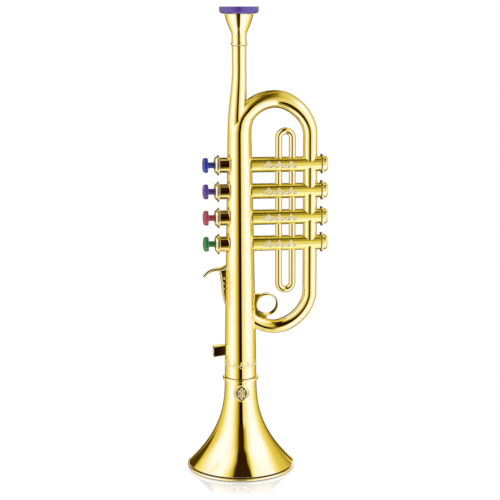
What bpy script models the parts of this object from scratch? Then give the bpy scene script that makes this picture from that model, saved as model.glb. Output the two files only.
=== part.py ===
"""Toy trumpet with four spring-return buttons, in metres, +Z up, standing on its bell.

The bell's axis is vertical, the buttons point to -X, the loop of tube lies to +X, and
the moulded body parts along the plane Y = 0. The origin is the middle of the footprint.
"""
from math import cos, pi, sin, sqrt

import bmesh
import bpy
from mathutils import Matrix, Vector

# Clearances
GAP = 0.0003                    # between pieces that touch
OVERRUN = 0.002                 # how far a cutter runs past what it cuts
WELD = 0.000002                 # corners closer than this are made one

# Bell: a turned cup that flares from its neck to a rolled lip
BELL_HEIGHT = 0.0751
BELL_LIP_RADIUS = 0.0438
BELL_LIP_HEIGHT = 0.0028
BELL_LIP_PROUD = 0.0007
BELL_LIP_WIDTH = 0.0022
BELL_NECK_RADIUS = 0.0129
BELL_FLARE_POWER = 2.5
BELL_WALL = 0.0015
BELL_ROWS = 8
BELL_SIDES = 28
COLLAR_PROUD = 0.0014
COLLAR_THICKNESS = 0.0024
SOCKET_DEPTH = 0.0095
SOCKET_WALL = 0.0017

# Main tube: the thick upright tube that holds the reeds
TUBE_BOTTOM_RADIUS = 0.0127
TUBE_TOP_RADIUS = 0.00935
TUBE_BULGE_POWER = 1.25
TUBE_CROWN = 0.006
TUBE_ROWS = 7
TUBE_SIDES = 16
SHELL_WALL = 0.0015

# Loop: the tube that leaves the top of the main tube and returns to it lower down
LOOP_WIDTH = 0.0562
LOOP_RADIUS = 0.0056
LOOP_LOWER_RISE = 0.0684        # lower bow's centre above the foot of the main tube
LOOP_STRAIGHT = 0.12685
LOOP_SIDES = 12
LOOP_INSET = 0.00015            # how far the loop's root lies inside the main tube's skin
BOW_RISE = 0.0281
BOW_DROP = 0.0281
BOW_ROWS = 6
BOW_SHOULDER_RADIUS = 0.0074
BOW_TOP_RADIUS = 0.0070
BOW_SHOULDER_SHARE = 0.3        # where the thick root has narrowed, along the first quarter
BOW_ROOT_DEPTH = 0.008          # start of the bow below its centre, inside the main tube
LOOP_SOLID_SHARE = 0.6          # the loop is solid over this much of the quarters at its ends
ROUND_HANDLE_SHARE = 0.5523     # curve handles of a circular quarter
OUTER_HANDLE_SHARE = 0.485      # the outer quarters are a little straighter

# Leading pipe: from the mouthpiece down into the main tube
LEAD_RISE = 0.06925             # its open end above the upper bow's centre
LEAD_RADIUS = 0.0056
LEAD_FLARE_RISE = 0.0513
LEAD_FLARE_LENGTH = 0.046
LEAD_FOOT_RADIUS = 0.0075
LEAD_ROWS = 7

# Valves: four level casings across the main tube and the loop
VALVE_COUNT = 4
VALVE_TOP_DROP = 0.02355        # topmost valve below the upper bow's centre
VALVE_PITCH = 0.021
CASING_RADIUS = 0.00615
CASING_WALL = 0.00145
CASING_LEFT_REACH = 0.0162
CASING_RIGHT_PROUD = 0.0029     # right ends beyond the loop's outer side
CASING_SIDES = 12
SEAT_DEPTH = 0.0065             # spring seat below the casing's left end
SEAT_THICKNESS = 0.0015

# Slide tube: the small closed loop of tube behind the casings
SLIDE_TUBE_INSET = 0.01425      # its right leg's centre line left of the loop's
SLIDE_TUBE_WIDTH = 0.0109
SLIDE_TUBE_RADIUS = 0.00275
SLIDE_TUBE_TOP_RISE = 0.0026    # its upper bend's centre below the upper bow's centre
SLIDE_TUBE_LOW_RISE = 0.0076    # its lower bend's centre above the lower bow's centre
SLIDE_TUBE_ROWS = 5
SLIDE_TUBE_SIDES = 8

# Top caps and buttons
CAP_FLANGE_RADIUS = 0.00815
CAP_FLANGE_THICKNESS = 0.0012
CAP_DOME_RADIUS = 0.0069
CAP_DOME_HEIGHT = 0.0025
CAP_FACE_RADIUS = 0.0037
CAP_WALL = 0.0013
CAP_SPIGOT_LENGTH = 0.0024
CAP_SIDES = 12
BUTTON_TRAVEL = 0.0044
BUTTON_STOP_ROOM = 0.0006
BUTTON_HEAD_RADIUS = 0.0059
BUTTON_HEAD_THICKNESS = 0.0042
BUTTON_HEAD_BEVEL = 0.0009
BUTTON_STEM_RADIUS = 0.00235
BUTTON_COLLAR_RADIUS = 0.0033
BUTTON_COLLAR_THICKNESS = 0.0012
BUTTON_SIDES = 12
ROD_RADIUS = 0.0015
ROD_NECK_RADIUS = 0.0010
ROD_TIP_RADIUS = 0.0017
ROD_TIP_LENGTH = 0.0010
PAD_RADIUS = 0.0042
PAD_THICKNESS = 0.0016

# Return springs
SPRING_WIRE = 0.0005
SPRING_TURNS = 4
SPRING_POINTS_PER_TURN = 8
SPRING_STEM_ROOM = 0.0003

# Bottom caps
END_CAP_FLANGE_RADIUS = 0.0079
END_CAP_FLANGE_THICKNESS = 0.0012
END_CAP_RADIUS = 0.0061
END_CAP_FACE_RADIUS = 0.0049
END_CAP_LENGTH = 0.0038
END_CAP_SPIGOT_LENGTH = 0.0035
END_CAP_WALL = 0.0013

# Reed chest, reed plate and reeds inside the main tube
CHEST_LEFT = -0.0010
CHEST_DEPTH = 0.0050
CHEST_SIDE_ROOM = 0.0005
CHEST_WALL = 0.0013
CHEST_END = 0.0035
CELL_WALL = 0.0038
WEB_THICKNESS = 0.0015
PORT_RADIUS = 0.0032
REED_PLATE_THICKNESS = 0.0010
REED_THICKNESS = 0.0003
REED_WIDTH = 0.0020
REED_LENGTH = 0.0118
REED_LENGTH_STEP = 0.0008
REED_SLOT_ROOM = 0.0003
REED_OFFSET = 0.0037
REED_FOOT_LENGTH = 0.0030
RIVET_RADIUS = 0.0006
RIVET_HEIGHT = 0.0005
REED_SIDES = 6
STAKE_RADIUS = 0.0008
STAKE_HEAD_RADIUS = 0.0014
STAKE_HEAD_HEIGHT = 0.0006

# Mouthpiece
CUP_HEIGHT = 0.0241
CUP_TOP_RADIUS = 0.0113
CUP_STEM_RADIUS = 0.0058
CUP_STEM_HEIGHT = 0.0078
CUP_BEAD_PROUD = 0.0006
CUP_BEAD_HEIGHT = 0.0024
CUP_RECESS_RADIUS = 0.0092
CUP_BOWL_RADIUS = 0.0080
CUP_BOWL_DEPTH = 0.0118
CUP_SHANK_LENGTH = 0.0100
CUP_BORE_RADIUS = 0.0022
CUP_ROWS = 6
CUP_FIRST_SHARE = 0.22              # handles of the cup's outline, as shares of its rise
CUP_SECOND_SHARES = (0.51, 0.31)
CUP_BOWL_HANDLE_SHARE = 0.5
CUP_SIDES = 16
RIM_RADIUS = 0.0153
RIM_THICKNESS = 0.0054
RIM_CHAMFER = 0.0020
RIM_CHAMFER_HEIGHT = 0.0012
RIM_ROUND = 0.0008
RIM_SKIRT_LENGTH = 0.0026
RIM_SKIRT_WALL = 0.0012
RIM_SIDES = 24

# Finger ring
RING_X = 0.0213
RING_DROP = 0.0097              # its centre below the lower bow's centre
RING_HOLE_RADIUS = 0.0081
RING_WALL = 0.0011
RING_DEPTH = 0.0085
RING_WEB_DEPTH = 0.0050
RING_WEB_STEP = 0.0006
RING_SIDES = 16

# Finger hook
HOOK_CLEARANCE = 0.01055        # its root below the flange of the lowest top cap
HOOK_REACH = 0.0175
HOOK_DROP = 0.0079
HOOK_ROOT_THICKNESS = 0.0022
HOOK_TIP_THICKNESS = 0.0010
HOOK_WIDTH = 0.0080
HOOK_SPINE_LENGTH = 0.0302
HOOK_SPINE_REACH = 0.0042
HOOK_SPINE_THICKNESS = 0.0014
HOOK_SPINE_WIDTH = 0.0050
HOOK_WEB_WIDTH = 0.0022
HOOK_ROWS = 6
HOOK_FIRST_SHARES = (0.25, 0.38)      # handles of the tongue, as shares of its reach and drop
HOOK_SECOND_SHARES = (0.70, 0.0)
HOOK_BRANCH_SHARE = 0.42            # where the spine leaves the tongue
HOOK_BELLY_SHARE = 0.60
NUDGE_SHARE = 0.01                  # step along a curve that gives its direction

# Holder stub
STUB_RISE = 0.0220              # its middle at the tube above the foot of the main tube
STUB_REACH = 0.0098
STUB_HEIGHT = 0.0083
STUB_WIDTH = 0.0070
STUB_SLOPE = 0.0014
STUB_BEVEL = 0.0009
STUB_SOCKET = 0.0036
STUB_SOCKET_DEPTH = 0.0070

# Body screws, driven in from the back
SCREW_SEAT = 0.0026             # underside of the heads behind the parting plane
SCREW_HEAD_RADIUS = 0.0023
SCREW_HEAD_HEIGHT = 0.0015
SCREW_RADIUS = 0.0011
SCREW_REACH = 0.0036            # tips in front of the parting plane
SCREW_SLOT_RADIUS = 0.0011
SCREW_SLOT_DEPTH = 0.0008
SCREW_WELL_ROOM = 0.0005
SCREW_SIDES = 8
BOSS_WALL = 0.0014
LOW_SCREW_RISE = 0.0340
MIDDLE_SCREW_DROP = 0.0157      # middle screw below the reed chest
LOOP_SCREW_MARGIN = 0.0110      # loop screws beyond the centres of the outermost valves
BOW_SCREW_SHARE = 0.62          # place of the bow's screw along the first quarter

# Heights and places that follow from the sizes above
TUBE_FOOT = BELL_HEIGHT + GAP
LOWER_BOW = TUBE_FOOT + LOOP_LOWER_RISE
UPPER_BOW = LOWER_BOW + LOOP_STRAIGHT
LEAD_TOP = UPPER_BOW + LEAD_RISE
CUP_FOOT = LEAD_TOP + GAP
RIM_FOOT = CUP_FOOT + CUP_HEIGHT + GAP
VALVE_HEIGHTS = [UPPER_BOW - VALVE_TOP_DROP - VALVE_PITCH * i for i in range(VALVE_COUNT)]
BORE_RADIUS = CASING_RADIUS - CASING_WALL
SPIGOT_RADIUS = BELL_NECK_RADIUS - SOCKET_WALL - GAP
CAP_BACK = -CASING_LEFT_REACH - GAP
CAP_FACE = CAP_BACK - CAP_FLANGE_THICKNESS - CAP_DOME_HEIGHT
SEAT_FACE = -CASING_LEFT_REACH + SEAT_DEPTH
SEAT_BACK = SEAT_FACE + SEAT_THICKNESS
COLLAR_FRONT = CAP_FACE + CAP_WALL + GAP
COLLAR_BACK = COLLAR_FRONT + BUTTON_COLLAR_THICKNESS
HEAD_BACK = CAP_FACE - BUTTON_TRAVEL - BUTTON_STOP_ROOM
CHEST_RIGHT = CHEST_LEFT + CHEST_DEPTH
CHEST_BOTTOM = VALVE_HEIGHTS[-1] - VALVE_PITCH / 2 - CHEST_END
CHEST_TOP = VALVE_HEIGHTS[0] + VALVE_PITCH / 2 + CHEST_END
CASING_RIGHT_REACH = LOOP_WIDTH + LOOP_RADIUS + CASING_RIGHT_PROUD
END_CAP_BACK = CASING_RIGHT_REACH + GAP
END_CAP_END = END_CAP_BACK + END_CAP_FLANGE_THICKNESS + END_CAP_LENGTH
AXIS_X = (BELL_LIP_RADIUS - END_CAP_END) / 2


def tube_radius(height):
    """Outer radius of the main tube at a height above the ground."""
    share = (height - TUBE_FOOT) / (UPPER_BOW - TUBE_FOOT)
    share = min(max(share, 0.0), 1.0)
    return TUBE_TOP_RADIUS + (TUBE_BOTTOM_RADIUS - TUBE_TOP_RADIUS) * (1 - share ** TUBE_BULGE_POWER)


CHEST_HALF_WIDTH = sqrt((tube_radius(CHEST_TOP) - SHELL_WALL) ** 2 - CHEST_RIGHT ** 2) - CHEST_SIDE_ROOM


def ease(share):
    """Smooth step from 0 to 1."""
    share = min(max(share, 0.0), 1.0)
    return share * share * (3 - 2 * share)


def mix(start, end, share):
    return start + (end - start) * share


def cubic(a, b, c, d, share):
    """Point on a cubic curve with the end points a and d and the handles b and c."""
    rest = 1 - share
    return a * rest ** 3 + b * (3 * rest * rest * share) + c * (3 * rest * share * share) + d * share ** 3


def quarter(start, end, corner, handle_share, rows):
    """Points of a quarter bend from start to end, whose tangents meet at the corner."""
    first = start.lerp(corner, handle_share)
    second = end.lerp(corner, handle_share)
    return [cubic(start, first, second, end, i / rows) for i in range(rows + 1)]


def make_material(name, colour, metallic, roughness):
    """A Principled material in one colour."""
    material = bpy.data.materials.new(name)
    material.use_nodes = True
    shader = material.node_tree.nodes["Principled BSDF"]
    shader.inputs["Base Color"].default_value = (*colour, 1)
    shader.inputs["Metallic"].default_value = metallic
    shader.inputs["Roughness"].default_value = roughness
    material.diffuse_color = (*colour, 1)
    return material


def add_object(name, bm, location=(0, 0, 0)):
    """Turn a bmesh into an object that stands on the bell's axis, plus its own place."""
    bmesh.ops.recalc_face_normals(bm, faces=bm.faces)
    mesh = bpy.data.meshes.new(name)
    bm.to_mesh(mesh)
    bm.free()
    obj = bpy.data.objects.new(name, mesh)
    bpy.context.collection.objects.link(obj)
    obj.location = Vector(location) + Vector((AXIS_X, 0, 0))
    return obj


def finish(obj, material, smooth_angle=pi / 5):
    """Give a finished piece its material and its shading."""
    obj.data.materials.clear()
    obj.data.materials.append(material)
    obj.data.shade_smooth()
    obj.data.set_sharp_from_angle(angle=smooth_angle)
    return obj


def combine(target, tool, operation):
    """Unite the target with the tool, cut it or keep what they share; the tool is used up."""
    modifier = target.modifiers.new(operation.lower(), "BOOLEAN")
    modifier.operation = operation
    modifier.object = tool
    modifier.solver = "EXACT"
    bpy.context.view_layer.update()
    graph = bpy.context.evaluated_depsgraph_get()
    result = bpy.data.meshes.new_from_object(target.evaluated_get(graph))
    target.modifiers.clear()
    old = target.data
    target.data = result
    bpy.data.meshes.remove(old)
    bpy.data.objects.remove(tool)
    bm = bmesh.new()
    bm.from_mesh(result)
    bmesh.ops.remove_doubles(bm, verts=bm.verts, dist=WELD)
    bmesh.ops.dissolve_degenerate(bm, edges=bm.edges, dist=WELD)
    bm.to_mesh(result)
    bm.free()


def joined(name, pieces):
    """One object from pieces that stand clear of each other."""
    bm = bmesh.new()
    for piece in pieces:
        piece.data.transform(Matrix.Translation(piece.location))
        bm.from_mesh(piece.data)
        bpy.data.objects.remove(piece)
    obj = add_object(name, bm)
    obj.location = (0, 0, 0)
    return obj


def turned(name, outline, sides, axis="Z", location=(0, 0, 0), closed=True):
    """Turn an outline of (radius, place along the axis) points into a round solid."""
    bm = bmesh.new()
    verts = [bm.verts.new((radius, 0, along)) for radius, along in outline]
    edges = [bm.edges.new(pair) for pair in zip(verts, verts[1:])]
    if closed:
        edges.append(bm.edges.new((verts[-1], verts[0])))
    bmesh.ops.spin(bm, geom=verts + edges, axis=(0, 0, 1), cent=(0, 0, 0), angle=2 * pi,
                   steps=sides, use_merge=True)
    bmesh.ops.remove_doubles(bm, verts=bm.verts, dist=GAP / 100)
    if axis == "X":
        bmesh.ops.rotate(bm, verts=bm.verts, matrix=Matrix.Rotation(pi / 2, 3, "Y"))
    if axis == "Y":
        bmesh.ops.rotate(bm, verts=bm.verts, matrix=Matrix.Rotation(-pi / 2, 3, "X"))
    return add_object(name, bm, location)


def cylinder(name, radius, low, high, sides, axis, location=(0, 0, 0)):
    """A solid cylinder from low to high along an axis."""
    outline = [(0, low), (radius, low), (radius, high), (0, high)]
    return turned(name, outline, sides, axis, location, closed=False)


def block(name, low, high):
    """A box between two corners."""
    bm = bmesh.new()
    bmesh.ops.create_cube(bm, size=1)
    low, high = Vector(low), Vector(high)
    for vert in bm.verts:
        vert.co = (low + high) / 2 + vert.co * (high - low)
    return add_object(name, bm)


def plate(name, outline, width):
    """A flat plate across the parting plane from an outline of (x, z) points."""
    bm = bmesh.new()
    face = bm.faces.new([bm.verts.new((x, -width / 2, z)) for x, z in outline])
    grown = bmesh.ops.extrude_face_region(bm, geom=[face])["geom"]
    moved = [item for item in grown if isinstance(item, bmesh.types.BMVert)]
    bmesh.ops.translate(bm, verts=moved, vec=(0, width, 0))
    return add_object(name, bm)


def swept(name, path, radii, sides, closed=False):
    """A round tube along points in the parting plane, with a radius at each point."""
    bm = bmesh.new()
    rings = []
    count = len(path)
    for i, (point, radius) in enumerate(zip(path, radii)):
        before = path[i - 1] if i or closed else point
        after = path[(i + 1) % count] if i < count - 1 or closed else point
        along = (after - before).normalized()
        across = Vector((along.z, 0, -along.x))
        ring = []
        for k in range(sides):
            angle = 2 * pi * k / sides
            outward = across * cos(angle) + Vector((0, sin(angle), 0))
            ring.append(bm.verts.new(point + outward * radius))
        rings.append(ring)
    pairs = list(zip(rings, rings[1:]))
    if closed:
        pairs.append((rings[-1], rings[0]))
    for first, second in pairs:
        for k in range(sides):
            following = (k + 1) % sides
            bm.faces.new((first[k], first[following], second[following], second[k]))
    if not closed:
        bm.faces.new(rings[0])
        bm.faces.new(rings[-1])
    return add_object(name, bm)


def flat(x, z):
    """A point in the parting plane."""
    return Vector((x, 0, z))


def loop_path():
    """Centre line and radii of the loop, from inside the main tube round to it again."""
    half = LOOP_WIDTH / 2
    root = flat(0, UPPER_BOW - BOW_ROOT_DEPTH)
    rise = quarter(flat(0, UPPER_BOW), flat(half, UPPER_BOW + BOW_RISE),
                   flat(0, UPPER_BOW + BOW_RISE), ROUND_HANDLE_SHARE, BOW_ROWS)
    fall = quarter(flat(half, UPPER_BOW + BOW_RISE), flat(LOOP_WIDTH, UPPER_BOW),
                   flat(LOOP_WIDTH, UPPER_BOW + BOW_RISE), OUTER_HANDLE_SHARE, BOW_ROWS)
    turn = quarter(flat(LOOP_WIDTH, LOWER_BOW), flat(half, LOWER_BOW - BOW_DROP),
                   flat(LOOP_WIDTH, LOWER_BOW - BOW_DROP), OUTER_HANDLE_SHARE, BOW_ROWS)
    back = quarter(flat(half, LOWER_BOW - BOW_DROP), flat(0, LOWER_BOW),
                   flat(0, LOWER_BOW - BOW_DROP), ROUND_HANDLE_SHARE, BOW_ROWS)
    path = [root] + rise + fall[1:] + turn + back[1:-1]
    thick = TUBE_TOP_RADIUS - LOOP_INSET
    radii = [thick]
    for i in range(BOW_ROWS + 1):
        share = i / BOW_ROWS
        radius = mix(thick, BOW_SHOULDER_RADIUS, ease(share / BOW_SHOULDER_SHARE))
        beyond = ease((share - BOW_SHOULDER_SHARE) / (1 - BOW_SHOULDER_SHARE))
        radii.append(mix(radius, BOW_TOP_RADIUS, beyond))
    radii += [mix(BOW_TOP_RADIUS, LOOP_RADIUS, ease(i / BOW_ROWS)) for i in range(1, BOW_ROWS + 1)]
    radii += [LOOP_RADIUS] * (len(path) - len(radii))
    return path, radii


def loop_body(name, wall=0.0):
    """The loop's outer tube, or with a wall the hollow inside it."""
    path, radii = loop_path()
    if not wall:
        return swept(name, path, radii, LOOP_SIDES)
    solid_rows = round(BOW_ROWS * LOOP_SOLID_SHARE)
    inner = slice(solid_rows + 1, 1 - solid_rows)
    return swept(name, path[inner], [radius - wall for radius in radii[inner]], LOOP_SIDES)


def lead_pipe(name, wall=0.0):
    """The leading pipe, which widens to the left as it meets the main tube, or its hollow."""
    flare_top = UPPER_BOW + LEAD_FLARE_RISE
    foot_x = -(TUBE_TOP_RADIUS - LEAD_FOOT_RADIUS - LOOP_INSET)
    path = [flat(0, LEAD_TOP + (OVERRUN if wall else 0))]
    radii = [LEAD_RADIUS - wall]
    for i in range(LEAD_ROWS + 1):
        share = i / LEAD_ROWS
        path.append(flat(foot_x * ease(share), flare_top - LEAD_FLARE_LENGTH * share))
        radii.append(mix(LEAD_RADIUS, LEAD_FOOT_RADIUS, ease(share)) - wall)
    path.append(flat(foot_x, UPPER_BOW - BOW_ROOT_DEPTH + (OVERRUN if wall else 0)))
    radii.append(LEAD_FOOT_RADIUS - wall)
    return swept(name, path, radii, TUBE_SIDES)


def main_tube(name):
    """The upright tube with its spigot below and a round crown above."""
    spigot_end = BELL_HEIGHT - SOCKET_DEPTH + GAP
    outline = [(0, spigot_end), (SPIGOT_RADIUS, spigot_end), (SPIGOT_RADIUS, TUBE_FOOT)]
    for i in range(TUBE_ROWS + 1):
        height = mix(TUBE_FOOT, UPPER_BOW, i / TUBE_ROWS)
        outline.append((tube_radius(height), height))
    for turn in (pi / 6, pi / 3):
        outline.append((TUBE_TOP_RADIUS * cos(turn), UPPER_BOW + TUBE_CROWN * sin(turn)))
    outline.append((0, UPPER_BOW + TUBE_CROWN))
    return turned(name, outline, TUBE_SIDES, closed=False)


def main_hollow(name):
    """The air space inside the main tube, before webs, rails and bosses are left standing."""
    narrow = SPIGOT_RADIUS - SHELL_WALL
    outline = [(0, BELL_HEIGHT - SOCKET_DEPTH - OVERRUN), (narrow, BELL_HEIGHT - SOCKET_DEPTH - OVERRUN)]
    outline.append((narrow, TUBE_FOOT + SHELL_WALL))
    for i in range(TUBE_ROWS):
        height = mix(TUBE_FOOT + 2 * SHELL_WALL, UPPER_BOW - SHELL_WALL, i / (TUBE_ROWS - 1))
        outline.append((tube_radius(height) - SHELL_WALL, height))
    outline.append((0, UPPER_BOW - SHELL_WALL))
    return turned(name, outline, TUBE_SIDES, closed=False)


def slide_tube(name):
    """The small closed loop of tube behind the casings."""
    radius = SLIDE_TUBE_WIDTH / 2
    middle = LOOP_WIDTH - SLIDE_TUBE_INSET - radius
    top = UPPER_BOW - SLIDE_TUBE_TOP_RISE
    low = LOWER_BOW + SLIDE_TUBE_LOW_RISE
    path = []
    for i in range(SLIDE_TUBE_ROWS + 1):
        angle = pi * i / SLIDE_TUBE_ROWS
        path.append(flat(middle - radius * cos(angle), top + radius * sin(angle)))
    for i in range(SLIDE_TUBE_ROWS + 1):
        angle = pi * i / SLIDE_TUBE_ROWS
        path.append(flat(middle + radius * cos(angle), low - radius * sin(angle)))
    return swept(name, path, [SLIDE_TUBE_RADIUS] * len(path), SLIDE_TUBE_SIDES, closed=True)


def ring_height():
    return LOWER_BOW - RING_DROP


def ring_web(name):
    """The flat web that carries the finger ring between the main tube and the lower bow."""
    outer = RING_HOLE_RADIUS + RING_WALL
    root = tube_radius(ring_height()) - SHELL_WALL / 2
    top = ring_height() + outer - RING_WEB_STEP
    low = ring_height() - outer - LOOP_RADIUS / 2
    outline = [(root, top), (RING_X - outer / 3, top), (RING_X, ring_height()), (RING_X, low), (root, low)]
    return plate(name, outline, RING_WEB_DEPTH)


def strip(name, curve, start_thickness, end_thickness, width):
    """A bent strip of even width whose thickness runs out along a curve of four points."""
    left, right = [], []
    for i in range(HOOK_ROWS + 1):
        share = i / HOOK_ROWS
        point = cubic(*curve, share)
        ahead = cubic(*curve, share + NUDGE_SHARE) - cubic(*curve, share - NUDGE_SHARE)
        half = mix(start_thickness, end_thickness, share) / 2
        across = Vector((ahead.z, 0, -ahead.x)).normalized() * half
        left.append((point + across).xz)
        right.append((point - across).xz)
    return plate(name, left + right[::-1], width)


def hook_pieces():
    """The finger hook: a bent tongue, a spine that runs down to the tube and a thin web."""
    top = VALVE_HEIGHTS[-1] - CAP_FLANGE_RADIUS - HOOK_CLEARANCE
    skin = tube_radius(top)
    start = flat(-skin + SHELL_WALL / 2, top)
    tip = flat(-skin - HOOK_REACH, top - HOOK_DROP)
    reach, drop = tip.x - start.x, tip.z - start.z
    first = start + flat(reach * HOOK_FIRST_SHARES[0], drop * HOOK_FIRST_SHARES[1])
    second = start + flat(reach * HOOK_SECOND_SHARES[0], drop * HOOK_SECOND_SHARES[1])
    tongue = (start, first, second, tip)
    branch = cubic(*tongue, HOOK_BRANCH_SHARE)
    foot = flat(-skin + SHELL_WALL / 2, top - HOOK_SPINE_LENGTH)
    upper = flat(-skin - HOOK_SPINE_REACH / 2, branch.z - HOOK_SPINE_REACH / 2)
    lower = flat(-skin - HOOK_SPINE_REACH, mix(top, foot.z, HOOK_BELLY_SHARE))
    spine = (branch, upper, lower, foot)
    web = [cubic(*spine, i / HOOK_ROWS).xz for i in range(1, HOOK_ROWS + 1)]
    web += [(start.x, foot.z), (start.x, branch.z)]
    return [
        strip("hook_tongue", tongue, HOOK_ROOT_THICKNESS, HOOK_TIP_THICKNESS, HOOK_WIDTH),
        strip("hook_spine", spine, HOOK_SPINE_THICKNESS, HOOK_SPINE_THICKNESS, HOOK_SPINE_WIDTH),
        plate("hook_web", web, HOOK_WEB_WIDTH),
    ]


def stub_ends():
    """Middle of the holder stub at the tube and at its outer end."""
    height = TUBE_FOOT + STUB_RISE
    skin = tube_radius(height)
    return flat(-skin + SHELL_WALL / 2, height), flat(-skin - STUB_REACH, height - STUB_SLOPE)


def holder_stub(name):
    """The short square holder below the hook, with its long edges taken off."""
    root, end = stub_ends()
    half = STUB_HEIGHT / 2
    outline = [
        (root.x, root.z - half),
        (root.x, root.z + half),
        (end.x, end.z + half),
        (end.x, end.z - half),
    ]
    stub = plate(name, outline, STUB_WIDTH)
    bm = bmesh.new()
    bm.from_mesh(stub.data)
    long_edges = [e for e in bm.edges if abs(e.verts[0].co.x - e.verts[1].co.x) > STUB_REACH / 2]
    bmesh.ops.bevel(bm, geom=long_edges, offset=STUB_BEVEL, segments=1, affect="EDGES")
    bm.to_mesh(stub.data)
    bm.free()
    return stub


def screw_places():
    """Places (x, z) of the body screws."""
    half = LOOP_WIDTH / 2
    angle = BOW_SCREW_SHARE * pi / 2
    return [
        (0, TUBE_FOOT + LOW_SCREW_RISE),
        (0, CHEST_BOTTOM - MIDDLE_SCREW_DROP),
        (LOOP_WIDTH, VALVE_HEIGHTS[-1] - LOOP_SCREW_MARGIN),
        (LOOP_WIDTH, VALVE_HEIGHTS[0] + LOOP_SCREW_MARGIN),
        (half - half * cos(angle), UPPER_BOW + BOW_RISE * sin(angle)),
    ]


def standing_ribs():
    """Ribs left standing in the main tube: rails beside the reed chest and webs at its ends."""
    middle = (CHEST_LEFT + CHEST_RIGHT) / 2
    wide = TUBE_BOTTOM_RADIUS
    rail = CHEST_HALF_WIDTH + GAP
    web_top = CHEST_BOTTOM - GAP
    web_low = web_top - WEB_THICKNESS
    upper_low = CHEST_TOP + GAP
    upper_top = upper_low + WEB_THICKNESS
    return [
        block("lower_web", (middle, -wide, web_low), (wide, wide, web_top)),
        block("upper_web", (-wide, -wide, upper_low), (middle, wide, upper_top)),
        block("front_rail", (CHEST_LEFT, -wide, web_low), (CHEST_RIGHT, -rail, upper_top)),
        block("back_rail", (CHEST_LEFT, rail, web_low), (CHEST_RIGHT, wide, upper_top)),
    ]


def air_space():
    """The hollows of the tubes, around the seats, ribs and screw bosses."""
    air = main_hollow("air")
    combine(air, lead_pipe("lead_air", SHELL_WALL), "UNION")
    cups = [cylinder("seat_cup", CASING_RADIUS, -CASING_LEFT_REACH - OVERRUN, SEAT_BACK,
                     CASING_SIDES, "X", (0, 0, height)) for height in VALVE_HEIGHTS]
    combine(air, joined("seat_cups", cups), "DIFFERENCE")
    for rib in standing_ribs():
        combine(air, rib, "DIFFERENCE")
    combine(air, loop_body("loop_air", SHELL_WALL), "UNION")
    boss_radius = SCREW_HEAD_RADIUS + SCREW_WELL_ROOM + BOSS_WALL
    bosses = [cylinder("boss", boss_radius, -TUBE_BOTTOM_RADIUS, TUBE_BOTTOM_RADIUS,
                       SCREW_SIDES, "Y", (x, 0, z)) for x, z in screw_places()]
    combine(air, joined("bosses", bosses), "DIFFERENCE")
    return air


def valve_bores(height):
    """Cutters for one casing: spring bore and stem hole to the left, and the bore to the right."""
    left = -CASING_LEFT_REACH - OVERRUN
    hole = BUTTON_STEM_RADIUS + GAP
    outline = [
        (0, left),
        (BORE_RADIUS, left),
        (BORE_RADIUS, SEAT_FACE),
        (hole, SEAT_FACE),
        (hole, SEAT_BACK + OVERRUN),
        (0, SEAT_BACK + OVERRUN),
    ]
    place = (0, 0, height)
    return [
        turned("spring_bore", outline, CASING_SIDES, "X", place, closed=False),
        cylinder("bore", BORE_RADIUS, CHEST_RIGHT, CASING_RIGHT_REACH + OVERRUN, CASING_SIDES, "X", place),
    ]


def screw_bore(x, z):
    """Cutter for one screw: a well for the head from the back and a hole for the shank."""
    well = SCREW_HEAD_RADIUS + SCREW_WELL_ROOM
    hole = SCREW_RADIUS + GAP
    back = TUBE_BOTTOM_RADIUS + OVERRUN
    outline = [
        (0, -SCREW_REACH - GAP),
        (hole, -SCREW_REACH - GAP),
        (hole, SCREW_SEAT),
        (well, SCREW_SEAT),
        (well, back),
        (0, back),
    ]
    return turned("screw_bore", outline, SCREW_SIDES, "Y", (x, 0, z), closed=False)


def body_hollow():
    """Everything that is cut out of the moulded body, as one cutter."""
    hollow = air_space()
    tools = []
    for height in VALVE_HEIGHTS:
        tools += valve_bores(height)
    for x, z in screw_places():
        tools.append(screw_bore(x, z))
    tools.append(cylinder("ring_hole", RING_HOLE_RADIUS, -RING_DEPTH, RING_DEPTH,
                          RING_SIDES, "Y", (RING_X, 0, ring_height())))
    end = stub_ends()[1]
    half = STUB_SOCKET / 2
    tools.append(block("stub_socket", (end.x - OVERRUN, -half, end.z - half),
                       (end.x + STUB_SOCKET_DEPTH, half, end.z + half)))
    combine(hollow, joined("bores", tools), "UNION")
    return hollow


def whole_body():
    """The moulded body before it is parted: tubes, casings, ring, hook and stub, hollowed out."""
    body = main_tube("body")
    pieces = [lead_pipe("lead"), loop_body("loop"), slide_tube("slide_tube")]
    casings = [cylinder("casing", CASING_RADIUS, -CASING_LEFT_REACH, CASING_RIGHT_REACH,
                        CASING_SIDES, "X", (0, 0, height)) for height in VALVE_HEIGHTS]
    ring = cylinder("ring", RING_HOLE_RADIUS + RING_WALL, -RING_DEPTH / 2, RING_DEPTH / 2,
                    RING_SIDES, "Y", (RING_X, 0, ring_height()))
    pieces.append(joined("casings", casings + [ring, holder_stub("stub")]))
    pieces.append(ring_web("ring_web"))
    pieces += hook_pieces()
    for piece in pieces:
        combine(body, piece, "UNION")
    combine(body, body_hollow(), "DIFFERENCE")
    return body


def body_shells(material):
    """Part the body along Y = 0 into a front and a back moulding."""
    body = whole_body()
    far = BELL_LIP_RADIUS
    reach = LOOP_WIDTH + CASING_RIGHT_REACH
    for name, low, high in (("front_shell", -far, -GAP / 2), ("back_shell", GAP / 2, far)):
        shell = body.copy()
        shell.data = body.data.copy()
        shell.name = name
        bpy.context.collection.objects.link(shell)
        half = block("half", (-reach, low, -OVERRUN), (reach, high, LEAD_TOP + OVERRUN))
        combine(shell, half, "INTERSECT")
        finish(shell, material)
    bpy.data.objects.remove(body)


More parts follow.
